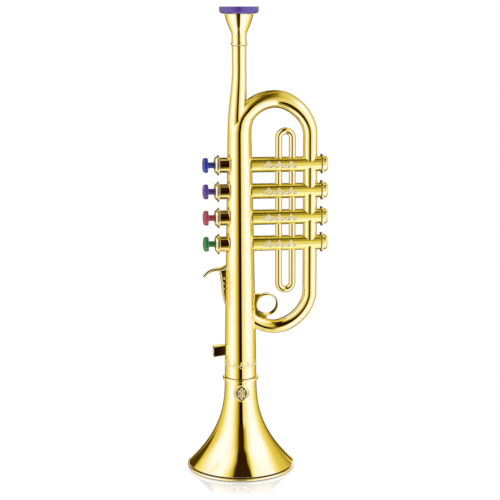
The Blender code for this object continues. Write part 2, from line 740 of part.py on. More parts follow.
def flare(height):
    """Outer radius of the bell's flare and its slope at a height."""
    top = BELL_HEIGHT - COLLAR_THICKNESS
    edge = BELL_LIP_RADIUS - BELL_LIP_PROUD
    spread = (edge - BELL_NECK_RADIUS) / (1 - BELL_LIP_HEIGHT / top) ** BELL_FLARE_POWER
    rest = max(1 - height / top, 0.0)
    radius = BELL_NECK_RADIUS + spread * rest ** BELL_FLARE_POWER
    slope = -spread * BELL_FLARE_POWER / top * rest ** (BELL_FLARE_POWER - 1)
    return radius, slope


def bell(material):
    """The bell: one turned cup with a rolled lip below and the socket's collar above."""
    top = BELL_HEIGHT - COLLAR_THICKNESS
    round_edge = BELL_LIP_PROUD
    outline = [
        (BELL_LIP_RADIUS - BELL_LIP_WIDTH, 0),
        (BELL_LIP_RADIUS - round_edge, 0),
        (BELL_LIP_RADIUS, round_edge),
        (BELL_LIP_RADIUS, BELL_LIP_HEIGHT),
    ]
    heights = [mix(BELL_LIP_HEIGHT, top, i / BELL_ROWS) for i in range(BELL_ROWS + 1)]
    outline += [(flare(height)[0], height) for height in heights]
    collar = BELL_NECK_RADIUS + COLLAR_PROUD
    socket = SPIGOT_RADIUS + GAP
    socket_floor = BELL_HEIGHT - SOCKET_DEPTH
    outline += [(collar, top), (collar, BELL_HEIGHT), (socket, BELL_HEIGHT), (socket, socket_floor)]
    for height in reversed(heights):
        radius, slope = flare(height)
        tilt = sqrt(1 + slope * slope)
        point = (radius - BELL_WALL / tilt, height + BELL_WALL * slope / tilt)
        if point[1] < socket_floor - BELL_WALL:
            outline.append(point)
    finish(turned("bell", outline, BELL_SIDES), material)


def mouthpiece_cup(material):
    """The mouthpiece: a shank in the leading pipe, a slim stem and a cup."""
    shank = LEAD_RADIUS - SHELL_WALL - GAP
    shank_end = CUP_FOOT - CUP_SHANK_LENGTH
    bead = CUP_STEM_RADIUS + CUP_BEAD_PROUD
    top = CUP_FOOT + CUP_HEIGHT
    outline = [
        (CUP_BORE_RADIUS, shank_end),
        (shank, shank_end),
        (shank, CUP_FOOT),
        (CUP_STEM_RADIUS, CUP_FOOT),
        (bead, CUP_FOOT + CUP_BEAD_HEIGHT / 3),
        (bead, CUP_FOOT + CUP_BEAD_HEIGHT * 2 / 3),
        (CUP_STEM_RADIUS, CUP_FOOT + CUP_BEAD_HEIGHT),
    ]
    start = Vector((CUP_STEM_RADIUS, CUP_FOOT + CUP_STEM_HEIGHT))
    end = Vector((CUP_TOP_RADIUS, top))
    reach = end - start
    first = start + Vector((0, reach.y * CUP_FIRST_SHARE))
    second = start + Vector((reach.x * CUP_SECOND_SHARES[0], reach.y * CUP_SECOND_SHARES[1]))
    outline += [tuple(cubic(start, first, second, end, i / CUP_ROWS)) for i in range(CUP_ROWS + 1)]
    ledge = top - RIM_SKIRT_LENGTH - GAP
    outline += [(CUP_RECESS_RADIUS, top), (CUP_RECESS_RADIUS, ledge)]
    brim = Vector((CUP_BOWL_RADIUS, ledge))
    throat = Vector((CUP_BORE_RADIUS, ledge - CUP_BOWL_DEPTH))
    corner = Vector((CUP_BOWL_RADIUS, throat.y))
    outline += [tuple(point) for point in quarter(brim, throat, corner, CUP_BOWL_HANDLE_SHARE, CUP_ROWS)]
    finish(turned("mouthpiece_cup", outline, CUP_SIDES), material)


def mouthpiece_rim(material):
    """The coloured rim, whose skirt sits in the recess of the cup."""
    skirt = CUP_RECESS_RADIUS - GAP
    mouth = skirt - RIM_SKIRT_WALL
    top = RIM_FOOT + RIM_THICKNESS
    outline = [
        (mouth, RIM_FOOT - RIM_SKIRT_LENGTH),
        (skirt, RIM_FOOT - RIM_SKIRT_LENGTH),
        (skirt, RIM_FOOT),
        (RIM_RADIUS - RIM_CHAMFER, RIM_FOOT),
        (RIM_RADIUS, RIM_FOOT + RIM_CHAMFER_HEIGHT),
        (RIM_RADIUS, top - RIM_ROUND),
        (RIM_RADIUS - RIM_ROUND, top),
        (mouth + 2 * RIM_ROUND, top),
        (mouth, top - 2 * RIM_ROUND),
    ]
    finish(turned("mouthpiece_rim", outline, RIM_SIDES), material)


def valve_top_cap(number, height, material):
    """A domed cap with a thin flange, spigoted into the left end of a casing."""
    hole = BUTTON_STEM_RADIUS + GAP
    bore = BUTTON_COLLAR_RADIUS + GAP
    spigot = BORE_RADIUS - GAP
    flange_front = CAP_BACK - CAP_FLANGE_THICKNESS
    ceiling = CAP_FACE + CAP_WALL
    middle = mix(CAP_FACE_RADIUS, CAP_DOME_RADIUS, sin(pi / 4))
    outline = [
        (hole, CAP_FACE),
        (CAP_FACE_RADIUS, CAP_FACE),
        (middle, mix(CAP_FACE, flange_front, 1 - cos(pi / 4))),
        (CAP_DOME_RADIUS, flange_front),
        (CAP_FLANGE_RADIUS, flange_front),
        (CAP_FLANGE_RADIUS, CAP_BACK),
        (spigot, CAP_BACK),
        (spigot, CAP_BACK + CAP_SPIGOT_LENGTH),
        (bore, CAP_BACK + CAP_SPIGOT_LENGTH),
        (bore, ceiling),
        (hole, ceiling),
    ]
    finish(turned(f"valve_top_cap_{number}", outline, CAP_SIDES, "X", (0, 0, height)), material)


def valve_bottom_cap(number, height, material):
    """A hollow round cap with a thin flange that closes the right end of a casing."""
    spigot = BORE_RADIUS - GAP
    flange_end = END_CAP_BACK + END_CAP_FLANGE_THICKNESS
    outline = [
        (0, END_CAP_END),
        (END_CAP_FACE_RADIUS, END_CAP_END),
        (END_CAP_RADIUS, mix(flange_end, END_CAP_END, 2 / 3)),
        (END_CAP_RADIUS, flange_end),
        (END_CAP_FLANGE_RADIUS, flange_end),
        (END_CAP_FLANGE_RADIUS, END_CAP_BACK),
        (spigot, END_CAP_BACK),
        (spigot, END_CAP_BACK - END_CAP_SPIGOT_LENGTH),
        (spigot - END_CAP_WALL, END_CAP_BACK - END_CAP_SPIGOT_LENGTH),
        (spigot - END_CAP_WALL, END_CAP_END - END_CAP_WALL),
        (0, END_CAP_END - END_CAP_WALL),
    ]
    name = f"valve_bottom_cap_{number}"
    finish(turned(name, outline, CAP_SIDES, "X", (0, 0, height), closed=False), material)


def button(number, colour_name, height, material):
    """A button with its stem, stop collar and thin rod, which ends in a tip that holds the pad."""
    front = HEAD_BACK - BUTTON_HEAD_THICKNESS
    bevel = BUTTON_HEAD_BEVEL
    stem_end = SEAT_BACK - GAP
    pad_back = CHEST_RIGHT + 2 * GAP + PAD_THICKNESS
    outline = [
        (0, front),
        (BUTTON_HEAD_RADIUS - bevel, front),
        (BUTTON_HEAD_RADIUS, front + bevel),
        (BUTTON_HEAD_RADIUS, HEAD_BACK - bevel / 2),
        (BUTTON_HEAD_RADIUS - bevel / 2, HEAD_BACK),
        (BUTTON_STEM_RADIUS, HEAD_BACK),
        (BUTTON_STEM_RADIUS, COLLAR_FRONT),
        (BUTTON_COLLAR_RADIUS, COLLAR_FRONT),
        (BUTTON_COLLAR_RADIUS, COLLAR_BACK),
        (BUTTON_STEM_RADIUS, COLLAR_BACK),
        (BUTTON_STEM_RADIUS, stem_end),
        (ROD_RADIUS, stem_end),
        (ROD_RADIUS, CHEST_RIGHT),
        (ROD_NECK_RADIUS, CHEST_RIGHT),
        (ROD_NECK_RADIUS, pad_back),
        (ROD_TIP_RADIUS, pad_back),
        (ROD_NECK_RADIUS, pad_back + ROD_TIP_LENGTH),
        (0, pad_back + ROD_TIP_LENGTH),
    ]
    name = f"button_{number}_{colour_name}"
    finish(turned(name, outline, BUTTON_SIDES, "X", (0, 0, height), closed=False), material)


def valve_pad(number, height, material):
    """A soft washer on the rod's neck that covers the port in the reed chest."""
    hole = ROD_NECK_RADIUS + GAP
    near = CHEST_RIGHT + GAP
    far = near + PAD_THICKNESS
    outline = [(hole, near), (PAD_RADIUS, near), (PAD_RADIUS, far), (hole, far)]
    finish(turned(f"valve_pad_{number}", outline, BUTTON_SIDES, "X", (0, 0, height)), material)


def return_spring(number, height, material):
    """A helical spring round the stem, between its collar and the seat in the casing."""
    radius = BUTTON_STEM_RADIUS + SPRING_STEM_ROOM + SPRING_WIRE / 2
    start = COLLAR_BACK + GAP + SPRING_WIRE / 2
    end = SEAT_FACE - GAP - SPRING_WIRE / 2
    curve = bpy.data.curves.new(f"return_spring_{number}", "CURVE")
    curve.dimensions = "3D"
    curve.bevel_depth = SPRING_WIRE / 2
    curve.bevel_resolution = 0
    curve.use_fill_caps = True
    count = SPRING_TURNS * SPRING_POINTS_PER_TURN + 1
    spline = curve.splines.new("POLY")
    spline.points.add(count - 1)
    for i in range(count):
        angle = 2 * pi * i / SPRING_POINTS_PER_TURN
        place = (mix(start, end, i / (count - 1)), radius * cos(angle), radius * sin(angle))
        spline.points[i].co = (*place, 1)
    obj = bpy.data.objects.new(f"return_spring_{number}", curve)
    obj.location = (AXIS_X, 0, height)
    curve.materials.append(material)
    bpy.context.collection.objects.link(obj)


def stake_heights():
    """Heights of the stakes: between the cells and beyond the first and the last."""
    return [VALVE_HEIGHTS[0] + VALVE_PITCH * (0.5 - i) for i in range(VALVE_COUNT + 1)]


def reed_chest(material):
    """The moulded bar inside the main tube: a cell and a port for each note, and stakes."""
    chest = block("reed_chest", (CHEST_LEFT, -CHEST_HALF_WIDTH, CHEST_BOTTOM),
                  (CHEST_RIGHT, CHEST_HALF_WIDTH, CHEST_TOP))
    plate_left = CHEST_LEFT - GAP - REED_PLATE_THICKNESS
    side = CHEST_HALF_WIDTH - CHEST_WALL
    half = (VALVE_PITCH - CELL_WALL) / 2
    for height in VALVE_HEIGHTS:
        cell = block("cell", (CHEST_LEFT - OVERRUN, -side, height - half),
                     (CHEST_RIGHT - CHEST_WALL, side, height + half))
        combine(chest, cell, "DIFFERENCE")
        port = cylinder("port", PORT_RADIUS, CHEST_LEFT, CHEST_RIGHT + OVERRUN,
                        BUTTON_SIDES, "X", (0, 0, height))
        combine(chest, port, "DIFFERENCE")
    for height in stake_heights():
        outline = [
            (0, CHEST_LEFT + STAKE_HEAD_RADIUS),
            (STAKE_RADIUS, CHEST_LEFT + STAKE_HEAD_RADIUS),
            (STAKE_RADIUS, plate_left - GAP),
            (STAKE_HEAD_RADIUS, plate_left - GAP),
            (STAKE_RADIUS, plate_left - GAP - STAKE_HEAD_HEIGHT),
            (0, plate_left - GAP - STAKE_HEAD_HEIGHT),
        ]
        combine(chest, turned("stake", outline, REED_SIDES, "X", (0, 0, height), closed=False), "UNION")
    finish(chest, material)


def reed_length(index):
    """Length of a reed's free tongue: the lowest note has the longest."""
    return REED_LENGTH - REED_LENGTH_STEP * (VALVE_COUNT - 1 - index)


def reed_plate(material):
    """The brass plate over the cells, with a slot for each reed and holes for rods and stakes."""
    left = CHEST_LEFT - GAP - REED_PLATE_THICKNESS
    right = CHEST_LEFT - GAP
    sheet = block("reed_plate", (left, -CHEST_HALF_WIDTH, CHEST_BOTTOM),
                  (right, CHEST_HALF_WIDTH, CHEST_TOP))
    slot_half = REED_WIDTH / 2 + REED_SLOT_ROOM
    for index, height in enumerate(VALVE_HEIGHTS):
        hole = cylinder("rod_hole", ROD_RADIUS + GAP, left - OVERRUN, right + OVERRUN,
                        BUTTON_SIDES, "X", (0, 0, height))
        combine(sheet, hole, "DIFFERENCE")
        root = height - reed_length(index) / 2 + REED_FOOT_LENGTH / 2
        slot = block("slot", (left - OVERRUN, REED_OFFSET - slot_half, root),
                     (right + OVERRUN, REED_OFFSET + slot_half, root + reed_length(index) + REED_SLOT_ROOM))
        combine(sheet, slot, "DIFFERENCE")
    for height in stake_heights():
        hole = cylinder("stake_hole", STAKE_RADIUS + GAP, left - OVERRUN, right + OVERRUN,
                        REED_SIDES, "X", (0, 0, height))
        combine(sheet, hole, "DIFFERENCE")
    finish(sheet, material)


def reed(index, height, material):
    """A brass tongue over its slot, riveted to the plate at its foot."""
    root = height - reed_length(index) / 2 + REED_FOOT_LENGTH / 2
    low = (CHEST_LEFT, REED_OFFSET - REED_WIDTH / 2, root - REED_FOOT_LENGTH)
    high = (CHEST_LEFT + REED_THICKNESS, REED_OFFSET + REED_WIDTH / 2, root + reed_length(index))
    tongue = block(f"reed_{index + 1}", low, high)
    rivet = cylinder("rivet", RIVET_RADIUS, CHEST_LEFT + REED_THICKNESS / 2,
                     CHEST_LEFT + REED_THICKNESS + RIVET_HEIGHT, REED_SIDES, "X",
                     (0, REED_OFFSET, root - REED_FOOT_LENGTH / 2))
    combine(tongue, rivet, "UNION")
    finish(tongue, material)


def body_screw(number, x, z, material):
    """One body screw: a round head in its well and a shank into the boss of the front half."""
    under = SCREW_SEAT + GAP
    back = under + SCREW_HEAD_HEIGHT
    slot = back - SCREW_SLOT_DEPTH
    outline = [
        (0, -SCREW_REACH),
        (SCREW_RADIUS, -SCREW_REACH),
        (SCREW_RADIUS, under),
        (SCREW_HEAD_RADIUS, under),
        (SCREW_HEAD_RADIUS, back),
        (SCREW_SLOT_RADIUS, back),
        (SCREW_SLOT_RADIUS, slot),
        (0, slot),
    ]
    screw = turned(f"body_screw_{number}", outline, SCREW_SIDES, "Y", (x, 0, z), closed=False)
    finish(screw, material)


for old in list(bpy.data.objects):
    bpy.data.objects.remove(old)

gold = make_material("gold_plate", (0.83, 0.62, 0.20), 1.0, 0.12)
white = make_material("white_plastic", (0.80, 0.79, 0.75), 0.0, 0.5)
brass = make_material("brass", (0.70, 0.52, 0.24), 1.0, 0.35)
steel = make_material("steel", (0.55, 0.55, 0.56), 1.0, 0.3)
rubber = make_material("rubber", (0.09, 0.09, 0.09), 0.0, 0.8)
violet = make_material("rim_purple", (0.12, 0.055, 0.34), 0.0, 0.35)
BUTTON_COLOURS = [
    ("blue", (0.012, 0.05, 0.33)),
    ("purple", (0.13, 0.05, 0.33)),
    ("red", (0.52, 0.06, 0.10)),
    ("green", (0.01, 0.26, 0.08)),
]

body_shells(gold)
bell(gold)
mouthpiece_cup(gold)
mouthpiece_rim(violet)
for valve, valve_height in enumerate(VALVE_HEIGHTS):
    colour_word, colour = BUTTON_COLOURS[valve % len(BUTTON_COLOURS)]
    number = valve + 1
    valve_top_cap(number, valve_height, gold)
    valve_bottom_cap(number, valve_height, gold)
    button(number, colour_word, valve_height, make_material(f"button_{colour_word}", colour, 0.0, 0.3))
    valve_pad(number, valve_height, rubber)
    return_spring(number, valve_height, steel)
    reed(valve, valve_height, brass)
reed_chest(white)
reed_plate(brass)
for index, (screw_x, screw_z) in enumerate(screw_places()):
    body_screw(index + 1, screw_x, screw_z, steel)
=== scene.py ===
from math import cos, exp, log, pi, radians, sin, sqrt

import bmesh
import bpy
from mathutils import Matrix, Quaternion, Vector


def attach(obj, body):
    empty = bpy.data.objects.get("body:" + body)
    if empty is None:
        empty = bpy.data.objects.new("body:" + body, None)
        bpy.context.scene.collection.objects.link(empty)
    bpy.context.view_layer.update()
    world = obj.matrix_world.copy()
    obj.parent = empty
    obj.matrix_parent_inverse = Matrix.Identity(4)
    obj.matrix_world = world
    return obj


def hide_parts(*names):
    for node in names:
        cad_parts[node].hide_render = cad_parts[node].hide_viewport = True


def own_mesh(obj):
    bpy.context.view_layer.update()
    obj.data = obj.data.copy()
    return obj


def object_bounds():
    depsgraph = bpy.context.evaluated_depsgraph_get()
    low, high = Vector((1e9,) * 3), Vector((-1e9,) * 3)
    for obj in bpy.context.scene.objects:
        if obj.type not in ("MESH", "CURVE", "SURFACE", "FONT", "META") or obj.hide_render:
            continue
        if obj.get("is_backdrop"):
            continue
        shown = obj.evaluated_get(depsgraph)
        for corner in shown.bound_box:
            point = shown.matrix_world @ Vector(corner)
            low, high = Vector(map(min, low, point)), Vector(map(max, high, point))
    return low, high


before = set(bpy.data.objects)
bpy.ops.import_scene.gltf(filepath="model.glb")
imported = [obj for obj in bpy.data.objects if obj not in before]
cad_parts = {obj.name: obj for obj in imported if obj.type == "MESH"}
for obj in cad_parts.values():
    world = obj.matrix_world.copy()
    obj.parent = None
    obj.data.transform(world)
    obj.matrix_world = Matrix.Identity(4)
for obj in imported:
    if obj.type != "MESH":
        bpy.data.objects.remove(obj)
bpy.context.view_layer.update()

# Bell. One turned cup of moulded plastic with a rolled lip to stand on and a thin collar on top.
# It is plated all over in bright gold under a clear lacquer, and is pushed on to the main tube's
# spigot. A small raised rosette sits on the front of its neck.
AXIS = Vector((-0.0131, 0, 0))
BELL_TOP = 0.0751
BELL_NECK = 0.0129
BELL_EDGE = 0.0431
LIP_RADIUS = 0.0438
LIP_HEIGHT = 0.0028
FLARE_TOP = 0.0727
FLARE_POWER = 2.5
BELL_WALL = 0.0015
SPIGOT, SPIGOT_DEPTH = 0.0109, 0.0095
NO_LENGTH, NEARLY_STRAIGHT = 1e-7, radians(155)
HOLD, LONG_RUN = 0.00012, 0.0004
SEAM_HALF = 0.015


def mix(start, end, share):
    return start + (end - start) * share


def shares(steps):
    """Even shares from 0 to 1."""
    return [i / steps for i in range(steps + 1)]


def ease(share):
    share = min(max(share, 0.0), 1.0)
    return share * share * (3 - 2 * share)


def soften(outline, radius, steps=3):
    """Round off the inner corners of an outline of points, and hold its long runs straight."""
    soft = [Vector(outline[0])]
    for before, corner, after in zip(outline, outline[1:], outline[2:]):
        before, corner, after = Vector(before), Vector(corner), Vector(after)
        back, ahead = before - corner, after - corner
        if min(back.length, ahead.length) < NO_LENGTH or back.angle(ahead) > NEARLY_STRAIGHT:
            soft.append(corner)
            continue
        reach = min(radius, back.length * 0.45, ahead.length * 0.45)
        start, end = corner + back.normalized() * reach, corner + ahead.normalized() * reach
        for share in shares(steps):
            soft.append(start.lerp(corner, share).lerp(corner.lerp(end, share), share))
    soft.append(Vector(outline[-1]))
    held = []
    for start, end in zip(soft, soft[1:]):
        held.append(start)
        if (end - start).length > LONG_RUN:
            hold = HOLD / (end - start).length
            held += [start.lerp(end, hold), start.lerp(end, 1 - hold)]
    return held + [soft[-1]]


def ring_angles(segments, seam=0.0):
    """Even angles round a tube, with three close ones at each side where a mould seam runs."""
    angles = [2 * pi * i / segments for i in range(segments)]
    if seam:
        angles = [a for a in angles if abs(sin(a)) > seam * 1.5]
        angles += [seam, 0.0, -seam, pi - seam, pi, pi + seam]
    return sorted(a % (2 * pi) for a in angles)


def placed(name, data):
    """A new object in the scene for a mesh, a curve or the camera."""
    piece = bpy.data.objects.new(name, data)
    bpy.context.scene.collection.objects.link(piece)
    return piece


def smooth(mesh, sharp=30):
    """Shade a mesh smooth; edges bent more than sharp degrees stay sharp."""
    mesh.shade_smooth()
    mesh.set_sharp_from_angle(angle=radians(sharp))


def mesh_piece(name, verts, faces, sharp=30):
    """A smooth-shaded object from points and faces."""
    mesh = bpy.data.meshes.new(name)
    mesh.from_pydata([tuple(v) for v in verts], [], faces)
    bm = bmesh.new()
    bm.from_mesh(mesh)
    bmesh.ops.remove_doubles(bm, verts=bm.verts, dist=NO_LENGTH)
    bmesh.ops.recalc_face_normals(bm, faces=bm.faces)
    bm.to_mesh(mesh)
    bm.free()
    smooth(mesh, sharp)
    return placed(name, mesh)


def skin_faces(rows, count, closed=False, base=0, flip=False):
    """Faces of a skin round rows of count points; closed joins the last row to the first."""
    faces = []
    for row in range(rows if closed else rows - 1):
        below, above = base + row * count, base + (row + 1) % rows * count
        for k in range(count):
            nxt = (k + 1) % count
            face = (below + k, below + nxt, above + nxt, above + k)
            faces.append(face[::-1] if flip else face)
    return faces


def end_faces(total, count):
    """Faces that close the first and the last row of a skin of total points."""
    return [tuple(range(count)), tuple(range(total - count, total))]


def lathe(name, outline, axis="Z", at=(0, 0, 0), segments=128, seam=0.0):
    """Turn a closed outline of (radius, place) points about an axis through the point at."""
    turn = {"Z": Matrix.Identity(3), "X": Matrix.Rotation(pi / 2, 3, "Y"),
            "Y": Matrix.Rotation(-pi / 2, 3, "X")}[axis]
    place = AXIS + Vector(at)
    angles = ring_angles(segments, SEAM_HALF if seam else 0.0)
    verts = []
    for radius, along in outline:
        for angle in angles:
            reach = radius - (seam if abs(sin(angle)) < 1e-6 and radius > seam else 0.0)
            verts.append(turn @ Vector((reach * cos(angle), reach * sin(angle), along)) + place)
    return mesh_piece(name, verts, skin_faces(len(outline), len(angles), closed=True))


def flare(height):
    """Radius of the bell's flare at a height, and its slope."""
    spread = (BELL_EDGE - BELL_NECK) / (1 - LIP_HEIGHT / FLARE_TOP) ** FLARE_POWER
    rest = max(1 - height / FLARE_TOP, 0.0)
    slope = -spread * FLARE_POWER / FLARE_TOP * rest ** (FLARE_POWER - 1)
    return BELL_NECK + spread * rest ** FLARE_POWER, slope


def feed(node, inputs):
    """Set a node's inputs, each to a number, a colour or another node's socket."""
    for name, value in inputs.items():
        if isinstance(value, bpy.types.NodeSocket):
            node.id_data.links.new(value, node.inputs[name])
        else:
            node.inputs[name].default_value = value


def add_node(tree, kind, inputs, **settings):
    """Add a node to a tree and feed it; returns its outputs."""
    node = tree.nodes.new(kind)
    for name, value in settings.items():
        setattr(node, name, value)
    feed(node, inputs)
    return node.outputs


def uneven_finish(name, colour, dark, cloud, gloss, skin, bump, fade=None, haze=None, **shader):
    """A surface of two close colours in clouds, with uneven gloss and a fine bumpy skin. Clouds, haze
    and skin are (scale, detail) of a noise; the gloss runs from its first to its second roughness."""
    material = bpy.data.materials.new(name)
    material.use_nodes = True
    tree = material.node_tree
    place = add_node(tree, "ShaderNodeTexCoord", {})["Object"]

    def noise(scale, detail):
        return add_node(tree, "ShaderNodeTexNoise", {
            "Vector": place, "Scale": scale, "Detail": detail})["Fac"]

    clouds = share = noise(*cloud)
    if fade:
        share = add_node(tree, "ShaderNodeMapRange", {
            "Value": clouds, "From Min": fade[0], "From Max": fade[1]})["Result"]
    tint = add_node(tree, "ShaderNodeMix", {
        "Factor": share, "A": (*colour, 1), "B": (*dark, 1)}, data_type="RGBA")
    rough = add_node(tree, "ShaderNodeMapRange", {
        "Value": noise(*haze) if haze else clouds, "To Min": gloss[0], "To Max": gloss[1]})
    bumps = add_node(tree, "ShaderNodeBump", {
        "Height": noise(*skin), "Strength": bump[0], "Distance": bump[1]})
    feed(tree.nodes["Principled BSDF"], {
        "Base Color": tint["Result"], "Roughness": rough["Result"], "Normal": bumps["Normal"],
        **{socket.replace("_", " "): value for socket, value in shader.items()}})
    return material


def plated_gold(name, colour, deep, rough, wear=0.012):
    """Gold lacquer over a mirror plating: faint waves, pin-point specks and a clear coat."""
    return uneven_finish(name, colour, deep, cloud=(38.0, 3.0), fade=(0.42, 0.72), haze=(220.0, 4.0),
                         gloss=(rough, rough + wear), skin=(700.0, 2.0), bump=(0.004, 0.00005),
                         Metallic=1.0, Coat_Weight=0.4, Coat_Roughness=0.04, Coat_IOR=1.5)


def dress(piece, material, slot, *nodes, body="trumpet_body"):
    """Give a piece its material, let it ride, and let it stand for its nodes. The slot is not used."""
    piece.data.materials.clear()
    piece.data.materials.append(material)
    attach(piece, body)
    if nodes:
        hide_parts(*nodes)
    return piece


GOLD = (0.99, 0.87, 0.40)
DEEP_GOLD = (0.98, 0.84, 0.34)
bell_gold = plated_gold("bell_gold", GOLD, DEEP_GOLD, 0.03)

lip = soften([
    (0.0414, 0.0012), (0.0414, 0.0004), (0.0431, 0.0004), (LIP_RADIUS, 0.0009), (LIP_RADIUS, 0.0017),
    (0.0434, 0.0023), (0.0424, 0.0024), (0.0419, 0.0026), (0.0419, 0.0031), (0.04235, 0.0034),
], 0.0005)
rows = [mix(LIP_HEIGHT + 0.0007, FLARE_TOP - 0.0003, s) for s in shares(90)]
outer = [Vector((flare(z)[0], z)) for z in rows]
collar = soften([
    (BELL_NECK, FLARE_TOP - 0.0003), (BELL_NECK, FLARE_TOP), (BELL_NECK + 0.0014, FLARE_TOP + 0.0001),
    (BELL_NECK + 0.0014, BELL_TOP), (SPIGOT + 0.0003, BELL_TOP), (SPIGOT + 0.0003, BELL_TOP - SPIGOT_DEPTH),
], 0.0008, 5)
inner = []
for z in reversed(rows):
    radius, slope = flare(z)
    tilt = sqrt(1 + slope * slope)
    point = Vector((radius - BELL_WALL / tilt, z + BELL_WALL * slope / tilt))
    if 0.0012 < point.y < BELL_TOP - SPIGOT_DEPTH - BELL_WALL:
        inner.append(point)
bell = lathe("bell_turned", list(lip) + outer + list(collar) + inner, segments=192)
dress(bell, bell_gold, "gold_bell", "bell")


def moulded_plastic(name, colour, dark, rough, grain=900.0):
    """Unplated plastic or rubber: uneven colour, a fine moulded skin and slightly uneven gloss."""
    return uneven_finish(name, colour, dark, cloud=(45.0, 5.0), gloss=(rough - 0.08, rough + 0.08),
                         skin=(grain, 3.0), bump=(0.25, 0.0001))


def closed_outline(points, radius, steps=3):
    """Soften an outline that ends where it starts."""
    return soften(points + points[:1], radius, steps)[:-1]


# Painted shade: a near-black brown for thin rings placed where the plating would lie in shade. It gives a
# painted shade line in the lip's groove and a painted contact shadow along the standing edge. The screw wells
# are lined with it too.
painted_shade_plastic = moulded_plastic("painted_shade_brown", (0.030, 0.014, 0.003), (0.014, 0.006, 0.001), 0.6)
groove = closed_outline([
    (0.0417, 0.0024), (0.0422, 0.0024), (0.04228, 0.0028), (0.0422, 0.0033), (0.0417, 0.0033),
], 0.0002, 2)
standing_edge = closed_outline([
    (0.0414, 0), (0.0429, 0), (0.0434, 0.0003), (0.0434, 0.0006), (0.0414, 0.0006),
], 0.0002, 2)
dress(lathe("bell_lip_groove_shade", groove, segments=192), painted_shade_plastic, "gold_bell")
dress(lathe("bell_standing_edge_shadow", standing_edge, segments=192), painted_shade_plastic, "gold_bell")


def wire_piece(name, runs, thickness, resolution=3):
    """Raised lines: one round wire along each run of points, with closed ends."""
    curve = bpy.data.curves.new(name, "CURVE")
    curve.dimensions = "3D"
    curve.bevel_depth = thickness
    curve.bevel_resolution = resolution
    curve.use_fill_caps = True
    for points, loop in runs:
        spline = curve.splines.new("POLY")
        spline.points.add(len(points) - 1)
        spline.use_cyclic_u = loop
        for point, co in zip(spline.points, points):
            point.co = (*co, 1)
    return placed(name, curve)


ROSETTE_HEIGHT = 0.0638
ROSETTE_TURN = radians(-3)


def on_bell(across, up, proud):
    """Point on the bell's front from its distances across and up from the rosette's middle."""
    z = ROSETTE_HEIGHT + up
    radius = flare(z)[0] + proud
    angle = ROSETTE_TURN + across / radius
    return AXIS + Vector((radius * sin(angle), -radius * cos(angle), z))


BOSS_WIDE, BOSS_HIGH, BOSS_PROUD = 0.0050, 0.0063, 0.0010
BOSS_CORNER, BOSS_CROWN, BOSS_SUNK = 1.6, 2.4, 0.0004
BOSS_RINGS, BOSS_SIDES = 18, 72


def lozenge(share, angle):
    """Point of a lozenge with soft corners, at a share of its full size."""
    reach = (abs(cos(angle) / BOSS_WIDE) ** BOSS_CORNER
             + abs(sin(angle) / BOSS_HIGH) ** BOSS_CORNER) ** (-1 / BOSS_CORNER)
    return share * reach * cos(angle), share * reach * sin(angle)


def on_boss(across, up, proud):
    """Point on the rosette's swelling."""
    share = (abs(across / BOSS_WIDE) ** BOSS_CORNER
             + abs(up / BOSS_HIGH) ** BOSS_CORNER) ** (1 / BOSS_CORNER)
    swell = BOSS_PROUD * max(1 - min(share, 1.0) ** BOSS_CROWN, 0.0)
    return on_bell(across, up, proud + swell)


PETAL_TAPER = 0.35


def petal(turn, start, reach, width):
    """A pointed petal from the middle outward, as a closed run on the flat."""
    side = [(mix(start, reach, s), width * sin(pi * s) * (1 - PETAL_TAPER * s)) for s in shares(14)]
    outline = side + [(a, -b) for a, b in reversed(side[1:-1])]
    return [(a * cos(turn) - b * sin(turn), a * sin(turn) + b * cos(turn)) for a, b in outline]


def laid(skin, points, proud, loop=True):
    """A raised line's run: flat points laid on a skin."""
    return [skin(*point, proud) for point in points], loop


round_it = ring_angles(BOSS_SIDES)
verts = [on_boss(0, 0, 0)]
for ring in range(1, BOSS_RINGS + 1):
    verts += [on_boss(*lozenge(ring / BOSS_RINGS, angle), 0) for angle in round_it]
verts += [on_bell(*lozenge(1.0, angle), -BOSS_SUNK) for angle in round_it]
faces = [(0, 1 + k, 1 + (k + 1) % BOSS_SIDES) for k in range(BOSS_SIDES)]
faces += skin_faces(BOSS_RINGS + 1, BOSS_SIDES, base=1) + end_faces(len(verts), BOSS_SIDES)[1:]
# Painted shade: the rosette's swelling takes a dark, dull copy of the gold, so the ground between its raised
# lines reads as shade.
shaded_rosette_gold = plated_gold("shaded_rosette_gold", (0.20, 0.145, 0.035), (0.10, 0.07, 0.012), 0.16, wear=0.1)
dress(mesh_piece("bell_rosette_boss", verts, faces, 40), shaded_rosette_gold, "gold_bell")

